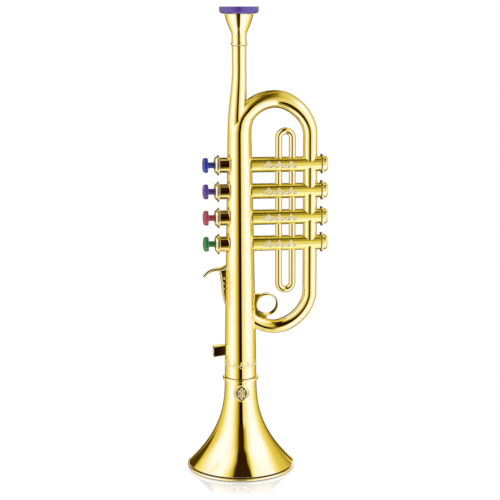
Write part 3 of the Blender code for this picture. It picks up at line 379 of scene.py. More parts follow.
LINE_PROUD, RIM_PROUD = 0.00008, 0.0001
RIM_WIRE, PETAL_WIRE = 0.00066, 0.00044
PETAL_START, PETAL_REACH, PETAL_WIDTH = 0.0009, 0.0034, 0.0010
UPRIGHT_REACH, UPRIGHT_WIDTH = 0.0046, 0.0009
WING, WING_SPAN, BEAD = 0.0063, 38, 0.0007
TAIL_IN, TAIL_OUT, TAIL_LOW, TAIL_RISE = 0.0012, 0.0022, 0.0062, 0.0016
rim_line = laid(on_boss, [lozenge(1.0, angle) for angle in round_it], RIM_PROUD)
dress(wire_piece("bell_rosette_rim", [rim_line], RIM_WIRE), bell_gold, "gold_bell")
rosette = [laid(on_boss, petal(pi / 4 + i * pi / 2, PETAL_START, PETAL_REACH, PETAL_WIDTH), LINE_PROUD)
           for i in range(4)]
for hand in (1, -1):
    upright = petal(hand * pi / 2, PETAL_START, UPRIGHT_REACH, UPRIGHT_WIDTH)
    rosette.append(laid(on_boss, upright, LINE_PROUD))
    wing = [radians(mix(-WING_SPAN, WING_SPAN, s)) for s in shares(20)]
    tail = [(hand * (TAIL_OUT * s + TAIL_IN), TAIL_RISE * s * s - TAIL_LOW) for s in shares(12)]
    for run in ([(hand * WING * cos(a), WING * sin(a)) for a in wing], tail, [(a, -b) for a, b in tail]):
        rosette.append(laid(on_bell, run, RIM_PROUD, loop=False))
rosette.append(laid(on_boss, [(BEAD * cos(a), BEAD * sin(a)) for a in ring_angles(16)], LINE_PROUD))
dress(wire_piece("bell_rosette", rosette, PETAL_WIRE), bell_gold, "gold_bell")

# Main tube. The tapered upright of the body, moulded in a front and a back half that are screwed
# together, so a fine seam runs down each side. It is hollow, closed by a round crown above, and its
# spigot stands in the bell. A band of small raised scrolls runs round its foot.
TUBE_FOOT = 0.0754
UPPER_BOW = 0.27065
LOWER_BOW = 0.1438
TUBE_LOW = 0.0127
TUBE_HIGH = 0.00935
TUBE_TAPER = 1.25
SHELL = 0.0015
SEAM = 0.00012
body_gold = plated_gold("body_gold", GOLD, DEEP_GOLD, 0.025)


def of_body(piece, *nodes):
    """Dress a piece of the body's two mouldings."""
    return dress(piece, body_gold, "gold_body", *nodes)


def tube_radius(z):
    share = min(max((z - TUBE_FOOT) / (UPPER_BOW - TUBE_FOOT), 0.0), 1.0)
    return TUBE_HIGH + (TUBE_LOW - TUBE_HIGH) * (1 - share ** TUBE_TAPER)


SPIGOT_FOOT, SHOULDER, CLOSE = 0.0660, TUBE_FOOT + 0.0008, 0.0001
YOKE_FOOT = UPPER_BOW - 0.0065
outline = soften([(SPIGOT - SHELL, SPIGOT_FOOT), (SPIGOT, SPIGOT_FOOT), (SPIGOT, TUBE_FOOT),
                  (tube_radius(TUBE_FOOT), TUBE_FOOT), (tube_radius(SHOULDER), SHOULDER)], 0.0004)
heights = [mix(SHOULDER, YOKE_FOOT + 0.0002, s) for s in shares(60)]
outline += [Vector((tube_radius(z), z)) for z in heights]
outline += [Vector((CLOSE, YOKE_FOOT + 0.0004)), Vector((CLOSE, YOKE_FOOT - SHELL))]
outline += [Vector((tube_radius(z) - SHELL, z - SHELL)) for z in reversed(heights[6:])]
outline += [Vector((SPIGOT - SHELL, TUBE_FOOT + SHELL))]
main_tube = lathe("body_main_tube", outline, segments=160, seam=SEAM)
of_body(main_tube, "front_shell", "back_shell")

BAND_LOW, BAND_MIDDLE, BAND_PROUD, BAND_WIRE = 0.0834, 0.0863, 0.00004, 0.00024
BAND_TURNS, BAND_CURL = 1.15, 0.00135
DROP_WIDE, DROP_HIGH, FOOT_WIDE, FOOT_HIGH = 0.0006, 0.0013, 0.0013, 0.0007
MOTIFS, MOTIFS_TURN = 14, radians(-3)


def on_tube(angle, z, proud):
    """Point on the main tube's skin at an angle from the front."""
    radius = tube_radius(z) + proud
    return AXIS + Vector((radius * sin(angle), -radius * cos(angle), z))


SCROLL_CLOSING = 0.78


def scroll(turns, size, steps=26):
    """A spiral that winds in, as flat points that start at the origin."""
    points = []
    for share in shares(steps):
        angle, reach = turns * 2 * pi * share, size * (1 - SCROLL_CLOSING * share)
        points.append((size - reach * cos(angle), reach * sin(angle)))
    return points


band = []
radius = tube_radius(BAND_MIDDLE)
for i in range(MOTIFS):
    start = 2 * pi * i / MOTIFS + MOTIFS_TURN
    for hand in (1, -1):
        run = [(start + hand * a / radius, BAND_MIDDLE - 0.0004 + b)
               for a, b in scroll(BAND_TURNS, BAND_CURL)]
        band.append(laid(on_tube, run, BAND_PROUD, loop=False))
    drop = [(start + DROP_WIDE * sin(t) * sin(t / 2) / radius, BAND_MIDDLE + 0.0019 + DROP_HIGH * cos(t))
            for t in ring_angles(18)]
    foot = [(start + FOOT_WIDE * s / radius, BAND_LOW + 0.0006 + FOOT_HIGH * abs(s))
            for s in [k / 5 for k in range(-5, 6)]]
    band += [laid(on_tube, drop, BAND_PROUD), laid(on_tube, foot, BAND_PROUD, loop=False)]
of_body(wire_piece("body_scroll_band", band, BAND_WIRE, 2))

# Leading pipe. The slim tube that carries the mouthpiece, part of the same two mouldings. It widens
# to the left as it runs down into the main tube, and meets the loop's root in a sharp crease.
LEAD_TOP = 0.3399
LEAD = 0.0056
LEAD_FLARE_TOP = 0.32195
LEAD_FLARE_LENGTH = 0.046
LEAD_FOOT = 0.0075
LEAD_INSET = 0.00015


def swept(name, path, radii, segments=64, closed=False, wall=0.0):
    """A round tube along points in the parting plane; with a wall it is a pipe, open at its ends."""
    angles = ring_angles(segments, 0.02)
    count, rows = len(angles), len(path)
    verts = []
    for depth in (0.0, wall) if wall else (0.0,):
        for i, (point, radius) in enumerate(zip(path, radii)):
            before = path[i - 1] if i or closed else point
            after = path[(i + 1) % rows] if i < rows - 1 or closed else point
            along = (after - before).normalized()
            across = Vector((along.z, 0, -along.x))
            for angle in angles:
                reach = radius - depth - (SEAM if abs(sin(angle)) < 1e-6 and not depth else 0.0)
                offset = across * (reach * cos(angle)) + Vector((0, reach * sin(angle), 0))
                verts.append(AXIS + point + offset)
    faces = skin_faces(rows, count, closed)
    if wall:
        base = rows * count
        faces += skin_faces(rows, count, closed, base, flip=True)
        for start in (0, base - count):
            faces += [(start + k, start + (k + 1) % count, base + start + (k + 1) % count, base + start + k)
                      for k in range(count)]
    elif not closed:
        faces += end_faces(rows * count, count)
    return mesh_piece(name, verts, faces)


def flat(x, z):
    return Vector((x, 0, z))


foot_x = -(TUBE_HIGH - LEAD_FOOT - LEAD_INSET)
path, radii = [flat(0, LEAD_TOP)], [LEAD]
for share in shares(40):
    path.append(flat(foot_x * ease(share), LEAD_FLARE_TOP - LEAD_FLARE_LENGTH * share))
    radii.append(mix(LEAD, LEAD_FOOT, ease(share)))
path.append(flat(foot_x, UPPER_BOW - 0.008))
radii.append(LEAD_FOOT)
of_body(swept("body_leading_pipe", path, radii, 96, wall=SHELL))

# Loop. The long bent tube that leaves the crown of the main tube, comes down on the right and turns
# back into it, part of the same two mouldings. Its root is as thick as the main tube and tapers off.
LOOP_WIDTH = 0.0562
LOOP = 0.0056
BOW = 0.0281
ROWS, CUT_ROWS = 30, 4


def cubic(a, b, c, d, s):
    """Point at a share of a curve from a to d that is drawn towards b and c."""
    r = 1 - s
    return a * r ** 3 + b * (3 * r * r * s) + c * (3 * r * s * s) + d * s ** 3


def bend(start, end, corner, handle):
    """Points of a quarter bend whose tangents meet at the corner."""
    first, second = start.lerp(corner, handle), end.lerp(corner, handle)
    return [cubic(start, first, second, end, share) for share in shares(ROWS)]


half = LOOP_WIDTH / 2
CREST, TROUGH = UPPER_BOW + BOW, LOWER_BOW - BOW
WIDE_HANDLE, TIGHT_HANDLE = 0.5523, 0.485
rise = bend(flat(0, UPPER_BOW), flat(half, CREST), flat(0, CREST), WIDE_HANDLE)
fall = bend(flat(half, CREST), flat(LOOP_WIDTH, UPPER_BOW), flat(LOOP_WIDTH, CREST), TIGHT_HANDLE)
turn = bend(flat(LOOP_WIDTH, LOWER_BOW), flat(half, TROUGH), flat(LOOP_WIDTH, TROUGH), TIGHT_HANDLE)
back = bend(flat(half, TROUGH), flat(0, LOWER_BOW), flat(0, TROUGH), WIDE_HANDLE)
straight = [flat(LOOP_WIDTH, mix(UPPER_BOW, LOWER_BOW, share)) for share in shares(12)[1:-1]]
path = [flat(0, UPPER_BOW - 0.002)] + rise + fall[1:] + straight + turn + back[1:-CUT_ROWS]
ROOT, NARROW, NARROW_AT = 0.0074, 0.0070, 0.42
radii = [TUBE_HIGH]
for share in shares(ROWS):
    radius = mix(TUBE_HIGH, ROOT, ease(share / NARROW_AT))
    radii.append(mix(radius, NARROW, ease((share - NARROW_AT) / (1 - NARROW_AT))))
radii += [mix(NARROW, LOOP, ease(share)) for share in shares(ROWS)[1:]]
DRAFT, DRAFT_ROWS = 0.00015, 8
bottom = len(path) - len(back) + CUT_ROWS
for i in range(len(radii), len(path)):
    past = i - bottom
    if past < -DRAFT_ROWS:
        lean = ease((past + ROWS) / (ROWS - DRAFT_ROWS))
    elif past > DRAFT_ROWS:
        lean = ease((past - DRAFT_ROWS) / 18) - 1
    else:
        lean = mix(1, -1, ease((past + DRAFT_ROWS) / (2 * DRAFT_ROWS)))
    radii.append(LOOP + DRAFT * lean)


def maths(tree, operation, *values):
    """A maths node of numbers and sockets; returns its socket."""
    return add_node(tree, "ShaderNodeMath", dict(enumerate(values)), operation=operation)[0]


def smooth_step(tree, value, low, high, start=0.0, end=1.0):
    """A node that runs smoothly from start to end while its value runs from low to high."""
    return add_node(tree, "ShaderNodeMapRange", {
        "Value": value, "From Min": low, "From Max": high, "To Min": start, "To Max": end},
        interpolation_type="SMOOTHSTEP")["Result"]


def duller_shaded_patch(material, centre, spans, rough, tone):
    """Let a finish grow duller and take on a painted shade tone where all the spans (X, Z or R, none, full)
    are reached; R is the distance from the centre."""
    tree = material.node_tree
    shader = tree.nodes["Principled BSDF"]
    place = add_node(tree, "ShaderNodeTexCoord", {})["Object"]
    where = add_node(tree, "ShaderNodeSeparateXYZ", {0: place})
    apart = add_node(tree, "ShaderNodeVectorMath", {0: place, 1: centre}, operation="DISTANCE")["Value"]
    reached = 1.0
    for axis, none, full in spans:
        span = smooth_step(tree, apart if axis == "R" else where[axis], none, full)
        reached = maths(tree, "MULTIPLY", span, reached)
    gloss, gold = [shader.inputs[name].links[0].from_socket for name in ("Roughness", "Base Color")]
    painted_tone = add_node(tree, "ShaderNodeMix", {
        "Factor": reached, "A": gold, "B": (*tone, 1)}, data_type="RGBA")
    duller = maths(tree, "MULTIPLY_ADD", reached, rough, gloss)
    feed(shader, {"Roughness": duller, "Base Color": painted_tone["Result"]})


loop_gold = plated_gold("loop_gold", GOLD, DEEP_GOLD, 0.025)
# Painted shade on the loop: an olive-dark tone over the crown of the upper bow, and a deeper gold round the
# bottom of the lower bow. Both patches are also duller.
duller_shaded_patch(loop_gold, AXIS + flat(half, UPPER_BOW),
             (("Z", 0.2900, 0.2950), ("X", 0.036, 0.026), ("R", 0.0275, 0.0315)), 0.20, (0.72, 0.56, 0.05))
duller_shaded_patch(loop_gold, AXIS + flat(half, TROUGH), (("R", 0.016, 0.007),), 0.05, (0.94, 0.80, 0.26))
loop_tube = dress(swept("body_loop", path, radii, 96), loop_gold, "gold_body")

# Yoke. The swelling where the leading pipe and the loop's root run together into the main tube. It
# fills the crease between them up to a point in front and behind, in the same two mouldings.
YOKE_TOP = 0.2812
YOKE_OVER, SINK_LENGTH, DIVE_LENGTH = 0.0032, 0.007, 0.0024
SKIN_BLEND = 0.00006


def stretched(ovals, angle, slack):
    """Point, where the skin faces the angle, of a skin round ovals of (middle, half width, half depth)."""
    def reach(a):
        spans = [m * cos(a) + sqrt((wide * cos(a)) ** 2 + (deep * sin(a)) ** 2) for m, wide, deep in ovals]
        most = max(spans)
        share = sum(exp((s - most) / SKIN_BLEND) for s in spans) / len(spans)
        return most + SKIN_BLEND * log(share) + slack

    out, turn = reach(angle), (reach(angle + 0.002) - reach(angle - 0.002)) / 0.004
    return out * cos(angle) - turn * sin(angle), out * sin(angle) + turn * cos(angle)


def loop_at(z):
    """The loop's middle, half width and half depth on a level cut near its root."""
    for i, (low_point, high_point) in enumerate(zip(rise, rise[1:])):
        if high_point.z >= z:
            share = (z - low_point.z) / (high_point.z - low_point.z)
            tilt = (high_point - low_point).normalized()
            radius = mix(radii[i + 1], radii[i + 2], share)
            return mix(low_point.x, high_point.x, share), radius / tilt.z, radius
    return rise[-1].x, LOOP, LOOP


verts = []
SIDES_ROUND, YOKE_ROWS = 128, 44
SINK, DIVE = 0.00016, 0.0012
for row in shares(YOKE_ROWS):
    z = mix(YOKE_FOOT, YOKE_TOP + YOKE_OVER, row)
    share = ease((z - YOKE_FOOT) / (YOKE_TOP - YOKE_FOOT))
    down = ease((LEAD_FLARE_TOP - z) / LEAD_FLARE_LENGTH)
    lead = (foot_x * down, mix(LEAD, LEAD_FOOT, down), mix(LEAD, LEAD_FOOT, down))
    start = tube_radius(z)
    ovals = [(mix(0, m, share), mix(start, wide, share), mix(start, deep, share))
             for m, wide, deep in (lead, loop_at(max(z, UPPER_BOW + 0.00001)))]
    sunk = SINK * ease((z - YOKE_TOP + SINK_LENGTH) / SINK_LENGTH)
    slack = SKIN_BLEND * share - sunk - DIVE * ease((z - YOKE_TOP) / DIVE_LENGTH)
    for angle in ring_angles(SIDES_ROUND):
        across, deep = stretched(ovals, angle, slack)
        verts.append(AXIS + Vector((across, deep, z)))
faces = skin_faces(YOKE_ROWS + 1, SIDES_ROUND) + end_faces(len(verts), SIDES_ROUND)
of_body(mesh_piece("body_yoke", verts, faces, 40))

# Casings. Four level tubes that cross the main tube, part of the same two mouldings. The short left
# ends hold the springs, with a seat moulded inside. The long right ends have a satin skin between
# their bright edges and carry a raised scroll on the front.
VALVES = [0.2471, 0.2261, 0.2051, 0.1841]
CASING = 0.00615
BORE = 0.0047
CASING_LEFT, CASING_RIGHT = -0.0162, 0.0647
SEAT_FACE, SEAT_BACK = -0.0097, -0.0082
STEM = 0.00235
GAP = 0.0003
casing_gold = plated_gold("casing_gold", (0.98, 0.89, 0.26), (0.94, 0.84, 0.20), 0.12, wear=0.05)


def bore_out(piece, cutters):
    """Cut tools out of a piece; the tools are used up."""
    for number, tool in enumerate(cutters):
        knife = piece.modifiers.new(f"cut_{number}", "BOOLEAN")
        knife.object = tool
        knife.operation = "DIFFERENCE"
        knife.solver = "EXACT"
    shaped = bpy.data.meshes.new_from_object(piece.evaluated_get(bpy.context.evaluated_depsgraph_get()))
    piece.modifiers.clear()
    piece.data = shaped
    for tool in cutters:
        bpy.data.objects.remove(tool)
    smooth(shaped)


CENTRE = 0.00002
BORE_CUT, STEM_CUT = BORE + 0.0001, STEM + GAP + 0.0001
CUT_INNER, CUT_OUTER = 0.004, 0.02
SPRING_SIDE = [(CENTRE, -CUT_OUTER), (BORE_CUT, -CUT_OUTER), (BORE_CUT, SEAT_FACE), (STEM_CUT, SEAT_FACE),
               (STEM_CUT, -CUT_INNER), (CENTRE, -CUT_INNER)]
PAD_SIDE = [(CENTRE, CUT_INNER), (BORE_CUT, CUT_INNER), (BORE_CUT, CUT_OUTER), (CENTRE, CUT_OUTER)]
bore_out(main_tube, [lathe("bore_cutter", outline, "X", (0, 0, height), 64) for height in VALVES
                     for outline in (SPRING_SIDE, PAD_SIDE)])
CASING_DRAFT, CASING_SUNK = 0.0001, 0.0012
for number, height in enumerate(VALVES, 1):
    at = (0, 0, height)
    outline = soften([(BORE, CASING_LEFT), (CASING - CASING_DRAFT, CASING_LEFT), (CASING, SEAT_BACK),
                      (STEM + GAP, SEAT_BACK), (STEM + GAP, SEAT_FACE), (BORE, SEAT_FACE)], 0.0002, 2)
    of_body(lathe(f"body_casing_left_{number}", outline, "X", at, 96))
    inside = tube_radius(height) - CASING_SUNK
    side = [(mix(CASING + CASING_DRAFT, CASING - CASING_DRAFT, s), mix(inside, CASING_RIGHT, s))
            for s in shares(24)]
    outline = soften([(BORE, inside)] + side + [(BORE, CASING_RIGHT)], 0.0002, 2)
    dress(lathe(f"body_casing_right_{number}", outline, "X", at, 96), casing_gold, "gold_body")


def on_casing(height, along, up):
    """Point on a casing's front from its place along the casing and round it from the middle."""
    angle, reach = up / CASING, CASING + VINE_PROUD
    return AXIS + Vector((along, -reach * cos(angle), height + reach * sin(angle)))


def moved(points, along, up, hand=1):
    return [(along + hand * a, up + b) for a, b in points]


VINE_LEFT, VINE_RIGHT, VINE_FOOT, VINE_PROUD, VINE_WIRE = 0.0195, 0.0435, -0.0019, 0.00012, 0.00043
VINE_WAVES, VINE_WAVE, LEAF_WIDE, LEAF_LONG = 5, 0.00035, 0.0009, 0.0036
BLOSSOM, BLOSSOM_UP, EYE = 0.0224, 0.0009, 0.0006
leaf = [(LEAF_WIDE * sin(pi * i / 12) * (1 - i / 26), LEAF_LONG * i / 12) for i in range(13)]
leaf += [(-a, b) for a, b in reversed(leaf[1:-1])]
curl = scroll(1.1, 0.00095, 22)
diamond = [(0, 0.0026), (0.0008, 0.0012), (0.0019, 0), (0.0008, -0.0012), (0, -0.0026), (-0.0008, -0.0012),
           (-0.0019, 0), (-0.0008, 0.0012)]
stalk = [(mix(VINE_LEFT, VINE_RIGHT, i / 60), VINE_FOOT + VINE_WAVE * sin(2 * pi * VINE_WAVES * i / 60))
         for i in range(61)]
eye = [(EYE * cos(a), EYE * sin(a)) for a in ring_angles(14)]
vine = [(stalk, False), (moved(diamond, BLOSSOM, BLOSSOM_UP), True), (moved(eye, BLOSSOM, BLOSSOM_UP), True)]
vine += [(moved(curl, BLOSSOM + hand * 0.0020, 0.0002, hand), False) for hand in (1, -1)]
for along in (0.0309, 0.0403):
    vine.append((moved(leaf, along, -0.0006), True))
    for hand in (1, -1):
        vine.append((moved(curl, along + hand * 0.0011, -0.0004, hand), False))
        vine.append((moved(curl, along + hand * 0.0030, -0.0011, hand), False))
for hand, along in ((-1, VINE_LEFT + 0.0001), (1, VINE_RIGHT - 0.0001)):
    vine.append((moved(curl, along, -0.0016, hand), False))
# Painted highlight: the raised scrolls take a paler, lit copy of the gold.
lit_raised_gold = plated_gold("lit_raised_gold", (1.0, 0.93, 0.58), (1.0, 0.90, 0.50), 0.10)
for number, height in enumerate(VALVES, 1):
    runs = [([on_casing(height, a, b) for a, b in run], loop) for run, loop in vine]
    dress(wire_piece(f"body_casing_scroll_{number}", runs, VINE_WIRE), lit_raised_gold, "gold_body")

# Slide tube. A thin closed loop of tube that passes behind the fronts of the casings.
SLIDE = 0.00275
SLIDE_LEFT = 0.03105
SLIDE_WIDTH = 0.0109
middle_x = SLIDE_LEFT + SLIDE_WIDTH / 2
path = []
for middle_z, hand in ((UPPER_BOW - 0.0026, 1), (LOWER_BOW + 0.0076, -1)):
    for angle in [pi * i / 24 for i in range(25)]:
        path.append(flat(middle_x - hand * SLIDE_WIDTH / 2 * cos(angle),
                         middle_z + hand * SLIDE_WIDTH / 2 * sin(angle)))
of_body(swept("body_slide_tube", path, [SLIDE] * len(path), 48, closed=True))

# Finger ring. A thin hoop for a finger, joined to the main tube and the lower bow by a flat web.
RING_X, RING_Z = 0.0213, 0.1341
RING_HOLE, RING_WALL, RING_DEPTH = 0.0081, 0.0011, 0.0085
RING_WEB, RING_WEB_SLANT = 0.0050, 0.011


def plate(name, outline, width, bevel=0.0003, steps=2, slant=0.0):
    """A flat plate across the parting plane, with softened edges; slant thickens it to the right."""
    bm = bmesh.new()
    face = bm.faces.new([bm.verts.new((x, -width / 2, z)) for x, z in outline])
    grown = bmesh.ops.extrude_face_region(bm, geom=[face])["geom"]
    bmesh.ops.translate(bm, verts=[g for g in grown if isinstance(g, bmesh.types.BMVert)], vec=(0, width, 0))
    bmesh.ops.recalc_face_normals(bm, faces=bm.faces)
    rim = [e for e in bm.edges if e.calc_face_angle(0) > radians(50)]
    bmesh.ops.bevel(bm, geom=rim, offset=bevel, segments=steps, affect="EDGES", profile=0.5)
    for vert in bm.verts:
        vert.co.y *= 1 + slant * (vert.co.x - outline[0][0]) * 2 / width
    bmesh.ops.translate(bm, verts=bm.verts, vec=AXIS)
    mesh = bpy.data.meshes.new(name)
    bm.to_mesh(mesh)
    bm.free()
    smooth(mesh, 20)
    return placed(name, mesh)


crown = [(RING_HOLE + mix(0.0004, RING_WALL, 1 - s * s), s * RING_DEPTH / 2)
         for s in [i / 10 for i in range(-10, 11)]]
outline = closed_outline([(RING_HOLE + 0.0002, -RING_DEPTH / 2)] + crown
                         + [(RING_HOLE, RING_DEPTH / 2), (RING_HOLE, -RING_DEPTH / 2)], 0.0002)
dress(lathe("body_finger_ring", outline, "Y", (RING_X, 0, RING_Z), 96), casing_gold, "gold_body")
outer_ring, web_hole = RING_HOLE + RING_WALL, RING_HOLE + 0.0003
root_x = tube_radius(RING_Z) - SHELL / 2
top, low = RING_Z + outer_ring - 0.0006, RING_Z - outer_ring - LOOP / 2
hole_edge = [(RING_X - web_hole * sin(a), RING_Z + web_hole * cos(a))
             for a in [mix(0.38, pi, s) for s in shares(20)]]
web = [(root_x, low), (root_x, top), (RING_X - outer_ring / 3, top)] + hole_edge + [(RING_X, low)]
of_body(plate("body_ring_web", web, RING_WEB, slant=RING_WEB_SLANT))

# Finger hook. A bent leaf for the little finger, with a spine that runs down to the tube and a thin
# web with a scroll between them. It is moulded in one with the body.
HOOK_TOP = TUBE_FOOT + 0.0900
HOOK_REACH, HOOK_DROP, SPINE_DROP = 0.0175, 0.0079, 0.0308
TONGUE_THICK, TONGUE_WIDE = (0.0026, 0.0013), (0.0074, 0.0062)
SPINE_THICK, SPINE_WIDE, HOOK_WEB = (0.0017, 0.0015), (0.0046, 0.0042), 0.0022
STRIP_SIDES = 20


def strip(name, curve, thickness, width, rows=26):
    """A bent strip with a rounded section along a curve, with its thickness and width at both ends."""
    verts = []
    for s in shares(rows):
        ahead = (cubic(*curve, min(s + 0.01, 1.0)) - cubic(*curve, max(s - 0.01, 0.0))).normalized()
        across = Vector((ahead.z, 0, -ahead.x))
        thick, wide = mix(*thickness, s) / 2, mix(*width, s) / 2
        for angle in ring_angles(STRIP_SIDES):
            c, n = cos(angle), sin(angle)
            lift = abs(c) ** 0.6 * (1 if c > 0 else -1) * thick
            out = abs(n) ** 0.45 * (1 if n > 0 else -1) * wide
            verts.append(AXIS + cubic(*curve, s) + across * lift + Vector((0, out, 0)))
    faces = skin_faces(rows + 1, STRIP_SIDES) + end_faces(len(verts), STRIP_SIDES)
    return mesh_piece(name, verts, faces, 50)


skin_x = tube_radius(HOOK_TOP)
start = flat(-skin_x + SHELL / 2, HOOK_TOP)
tip = flat(-skin_x - HOOK_REACH, HOOK_TOP - HOOK_DROP)
reach, drop = tip.x - start.x, tip.z - start.z
tongue = (start, start + flat(reach * 0.25, drop * 0.38), start + flat(reach * 0.70, 0), tip)
branch = cubic(*tongue, 0.42)
hook_foot = flat(-skin_x - 0.0003, HOOK_TOP - SPINE_DROP)
spine = (branch, flat(-skin_x - 0.0024, branch.z - 0.0021),
         flat(-skin_x - 0.0042, mix(HOOK_TOP, hook_foot.z, 0.60)), hook_foot)
of_body(strip("body_hook_tongue", tongue, TONGUE_THICK, TONGUE_WIDE))
of_body(strip("body_hook_spine", spine, SPINE_THICK, SPINE_WIDE))
web = [tuple(cubic(*spine, s).xz) for s in shares(16)[1:]] + [(start.x, hook_foot.z), (start.x, branch.z)]
of_body(plate("body_hook_web", web, HOOK_WEB, 0.0002, 1))
HOOK_FACE, HOOK_WIRE = 0.0023, 0.0003
HOOK_CURLS = [(-0.0139, 0.1520, 0.0011, 1), (-0.0128, 0.1560, 0.0008, -1), (-0.0136, 0.1475, 0.0008, -1)]
hook_scroll = []
for curl_x, curl_z, size, hand in HOOK_CURLS:
    for face in (-HOOK_FACE, HOOK_FACE):
        hook_scroll.append(([AXIS + Vector((curl_x + hand * (a - size), face, curl_z + b))
                             for a, b in scroll(1.2, size, 22)], False))
of_body(wire_piece("body_hook_scroll", hook_scroll, HOOK_WIRE, 2))

# Grip strip. A long raised pad with a faint vine on the front of the tube beside the hook, where the
# hand rests. It swells a fifth of a millimetre proud, in one with the front half.
STRIP_LOW, STRIP_HIGH, STRIP_MIDDLE = 0.1330, 0.1632, 0.148
STRIP_TURN, STRIP_HALF, STRIP_EDGE = radians(-46), 0.0021, 0.0015
STRIP_SUNK, STRIP_PROUD = -0.00003, 0.00020
ACROSS, ALONG = 14, 70
verts = []
for z in [mix(STRIP_LOW, STRIP_HIGH, s) for s in shares(ALONG)]:
    for over in [mix(-STRIP_HALF, STRIP_HALF, s) for s in shares(ACROSS)]:
        edge = min(STRIP_HALF - abs(over), z - STRIP_LOW, STRIP_HIGH - z)
        proud = mix(STRIP_SUNK, STRIP_PROUD, ease(edge / STRIP_EDGE))
        verts.append(on_tube(STRIP_TURN + over / tube_radius(z), z, proud))
corners = [i * (ACROSS + 1) + k for i in range(ALONG) for k in range(ACROSS)]
faces = [(a, a + 1, a + ACROSS + 2, a + ACROSS + 1) for a in corners]
of_body(mesh_piece("body_grip_strip", verts, faces, 60))
GRIP_CURL, GRIP_SHIFT, GRIP_WAVE, GRIP_WIRE = 0.0009, 0.0008, 0.0006, 0.00016
grip = []
for i in range(5):
    z = mix(STRIP_LOW + 0.004, STRIP_HIGH - 0.004, i / 4)
    hand = 1 if i % 2 else -1
    run = [(STRIP_TURN + hand * (a - GRIP_SHIFT) / tube_radius(z), z + b)
           for a, b in scroll(1.1, GRIP_CURL, 20)]
    grip.append(laid(on_tube, run, STRIP_PROUD, loop=False))
stalk = [(STRIP_TURN + GRIP_WAVE * sin(4 * pi * s) / tube_radius(STRIP_MIDDLE),
          mix(STRIP_LOW + 0.002, STRIP_HIGH - 0.002, s)) for s in shares(40)]
grip.append(laid(on_tube, stalk, STRIP_PROUD, loop=False))
of_body(wire_piece("body_grip_vine", grip, GRIP_WIRE, 2))

# Holder stub. A short square socket on the left of the tube's foot, moulded in one with the body.
STUB_Z = TUBE_FOOT + 0.0220
STUB_HIGH, STUB_DEEP, SOCKET, SOCKET_DEPTH = 0.00415, 0.0035, 0.0018, 0.0070
STUB_REACH, STUB_DROP = 0.0098, 0.0014
stub_skin = tube_radius(STUB_Z)
stub_root = flat(-stub_skin + SHELL / 2, STUB_Z)
stub_end = flat(-stub_skin - STUB_REACH, STUB_Z - STUB_DROP)


def square_ring(point, high, deep):
    return [AXIS + point + Vector((0, y * deep, z * high)) for y, z in ((-1, -1), (-1, 1), (1, 1), (1, -1))]


verts = square_ring(stub_root, STUB_HIGH, STUB_DEEP) + square_ring(stub_end, STUB_HIGH, STUB_DEEP)
verts += square_ring(stub_end, SOCKET, SOCKET) + square_ring(stub_end + flat(SOCKET_DEPTH, 0), SOCKET, SOCKET)
holder = mesh_piece("body_holder_stub", verts, end_faces(len(verts), 4) + skin_faces(4, 4))
soft_edges = holder.modifiers.new("soft_edges", "BEVEL")
soft_edges.width = 0.0005
soft_edges.segments = 3
soft_edges.harden_normals = True
of_body(holder)

# Valve caps. Domed caps with a thin flange on the left ends, through which the stems pass, and
# rounded ones on the right ends. They are turned-looking mouldings, plated and pressed in.
CAP_BACK, CAP_FACE, CAP_WALL, FLANGE = -0.0165, -0.0202, 0.0013, 0.0012
END_BACK, END_FACE = 0.0650, 0.0700
HOLE, PLUG, NEAR_AXIS = STEM + GAP, BORE - GAP, 0.00005
DOME, DOME_FACE, BRIM = 0.0069, 0.0037, 0.00815
cap_gold = plated_gold("cap_gold", GOLD, DEEP_GOLD, 0.03)
flange, inner_face = CAP_BACK - FLANGE, CAP_FACE + CAP_WALL
dome = [Vector((mix(DOME_FACE, DOME, sin(a)), mix(CAP_FACE, flange, 1 - cos(a))))
        for a in [pi / 2 * s for s in shares(8)]]
left_cap = soften([(HOLE, inner_face), (HOLE, CAP_FACE)], 0.0002) + dome + soften([
    dome[-1], (0.0072, flange), (BRIM, flange), (BRIM, CAP_BACK), (PLUG, CAP_BACK),
    (PLUG, CAP_BACK + 0.0024), (0.0036, CAP_BACK + 0.0024), (0.0036, inner_face), (HOLE + 0.0002, inner_face),
], 0.0002)[1:]
flange, inner_face, plug_end = END_BACK + FLANGE, END_FACE - CAP_WALL, END_BACK - 0.0035
right_cap = soften([
    (NEAR_AXIS, END_FACE), (0.0049, END_FACE), (0.0061, mix(flange, END_FACE, 2 / 3)), (0.0061, flange),
    (0.0079, flange), (0.0079, END_BACK), (PLUG, END_BACK), (PLUG, plug_end), (PLUG - CAP_WALL, plug_end),
    (PLUG - CAP_WALL, inner_face), (NEAR_AXIS, inner_face),
], 0.0002)
for number, height in enumerate(VALVES, 1):
    for side, outline, word in (("left", left_cap, "top"), ("right", right_cap, "bottom")):
        cap = lathe(f"cap_{side}_{number}", outline, "X", (0, 0, height), 96)
        dress(cap, cap_gold, "gold_caps", f"valve_{word}_cap_{number}")

# Buttons. Glossy coloured plastic: a round head, a stem with a stop collar, and a thin rod that runs
# into the body and ends in a tip. They are pushed in against the springs.
CHEST_RIGHT, PAD_THICK = 0.0040, 0.0016
HEAD, HEAD_BACK, HEAD_FRONT = 0.0059, -0.0252, -0.0294
COLLAR, COLLAR_FRONT, COLLAR_BACK = 0.0033, -0.0186, -0.0174
ROD, NECK, TIP = 0.0015, 0.0010, 0.0017


def coloured_plastic(name, colour, dark, rough=0.22):
    """Coloured plastic with a faint moulded skin and slightly uneven colour, under a clear coat."""
    return uneven_finish(name, colour, dark, cloud=(160.0, 4.0), gloss=(rough - 0.05, rough + 0.08),
                         skin=(1500.0, 3.0), bump=(0.12, 0.0001), Coat_Weight=0.8, Coat_Roughness=0.12)


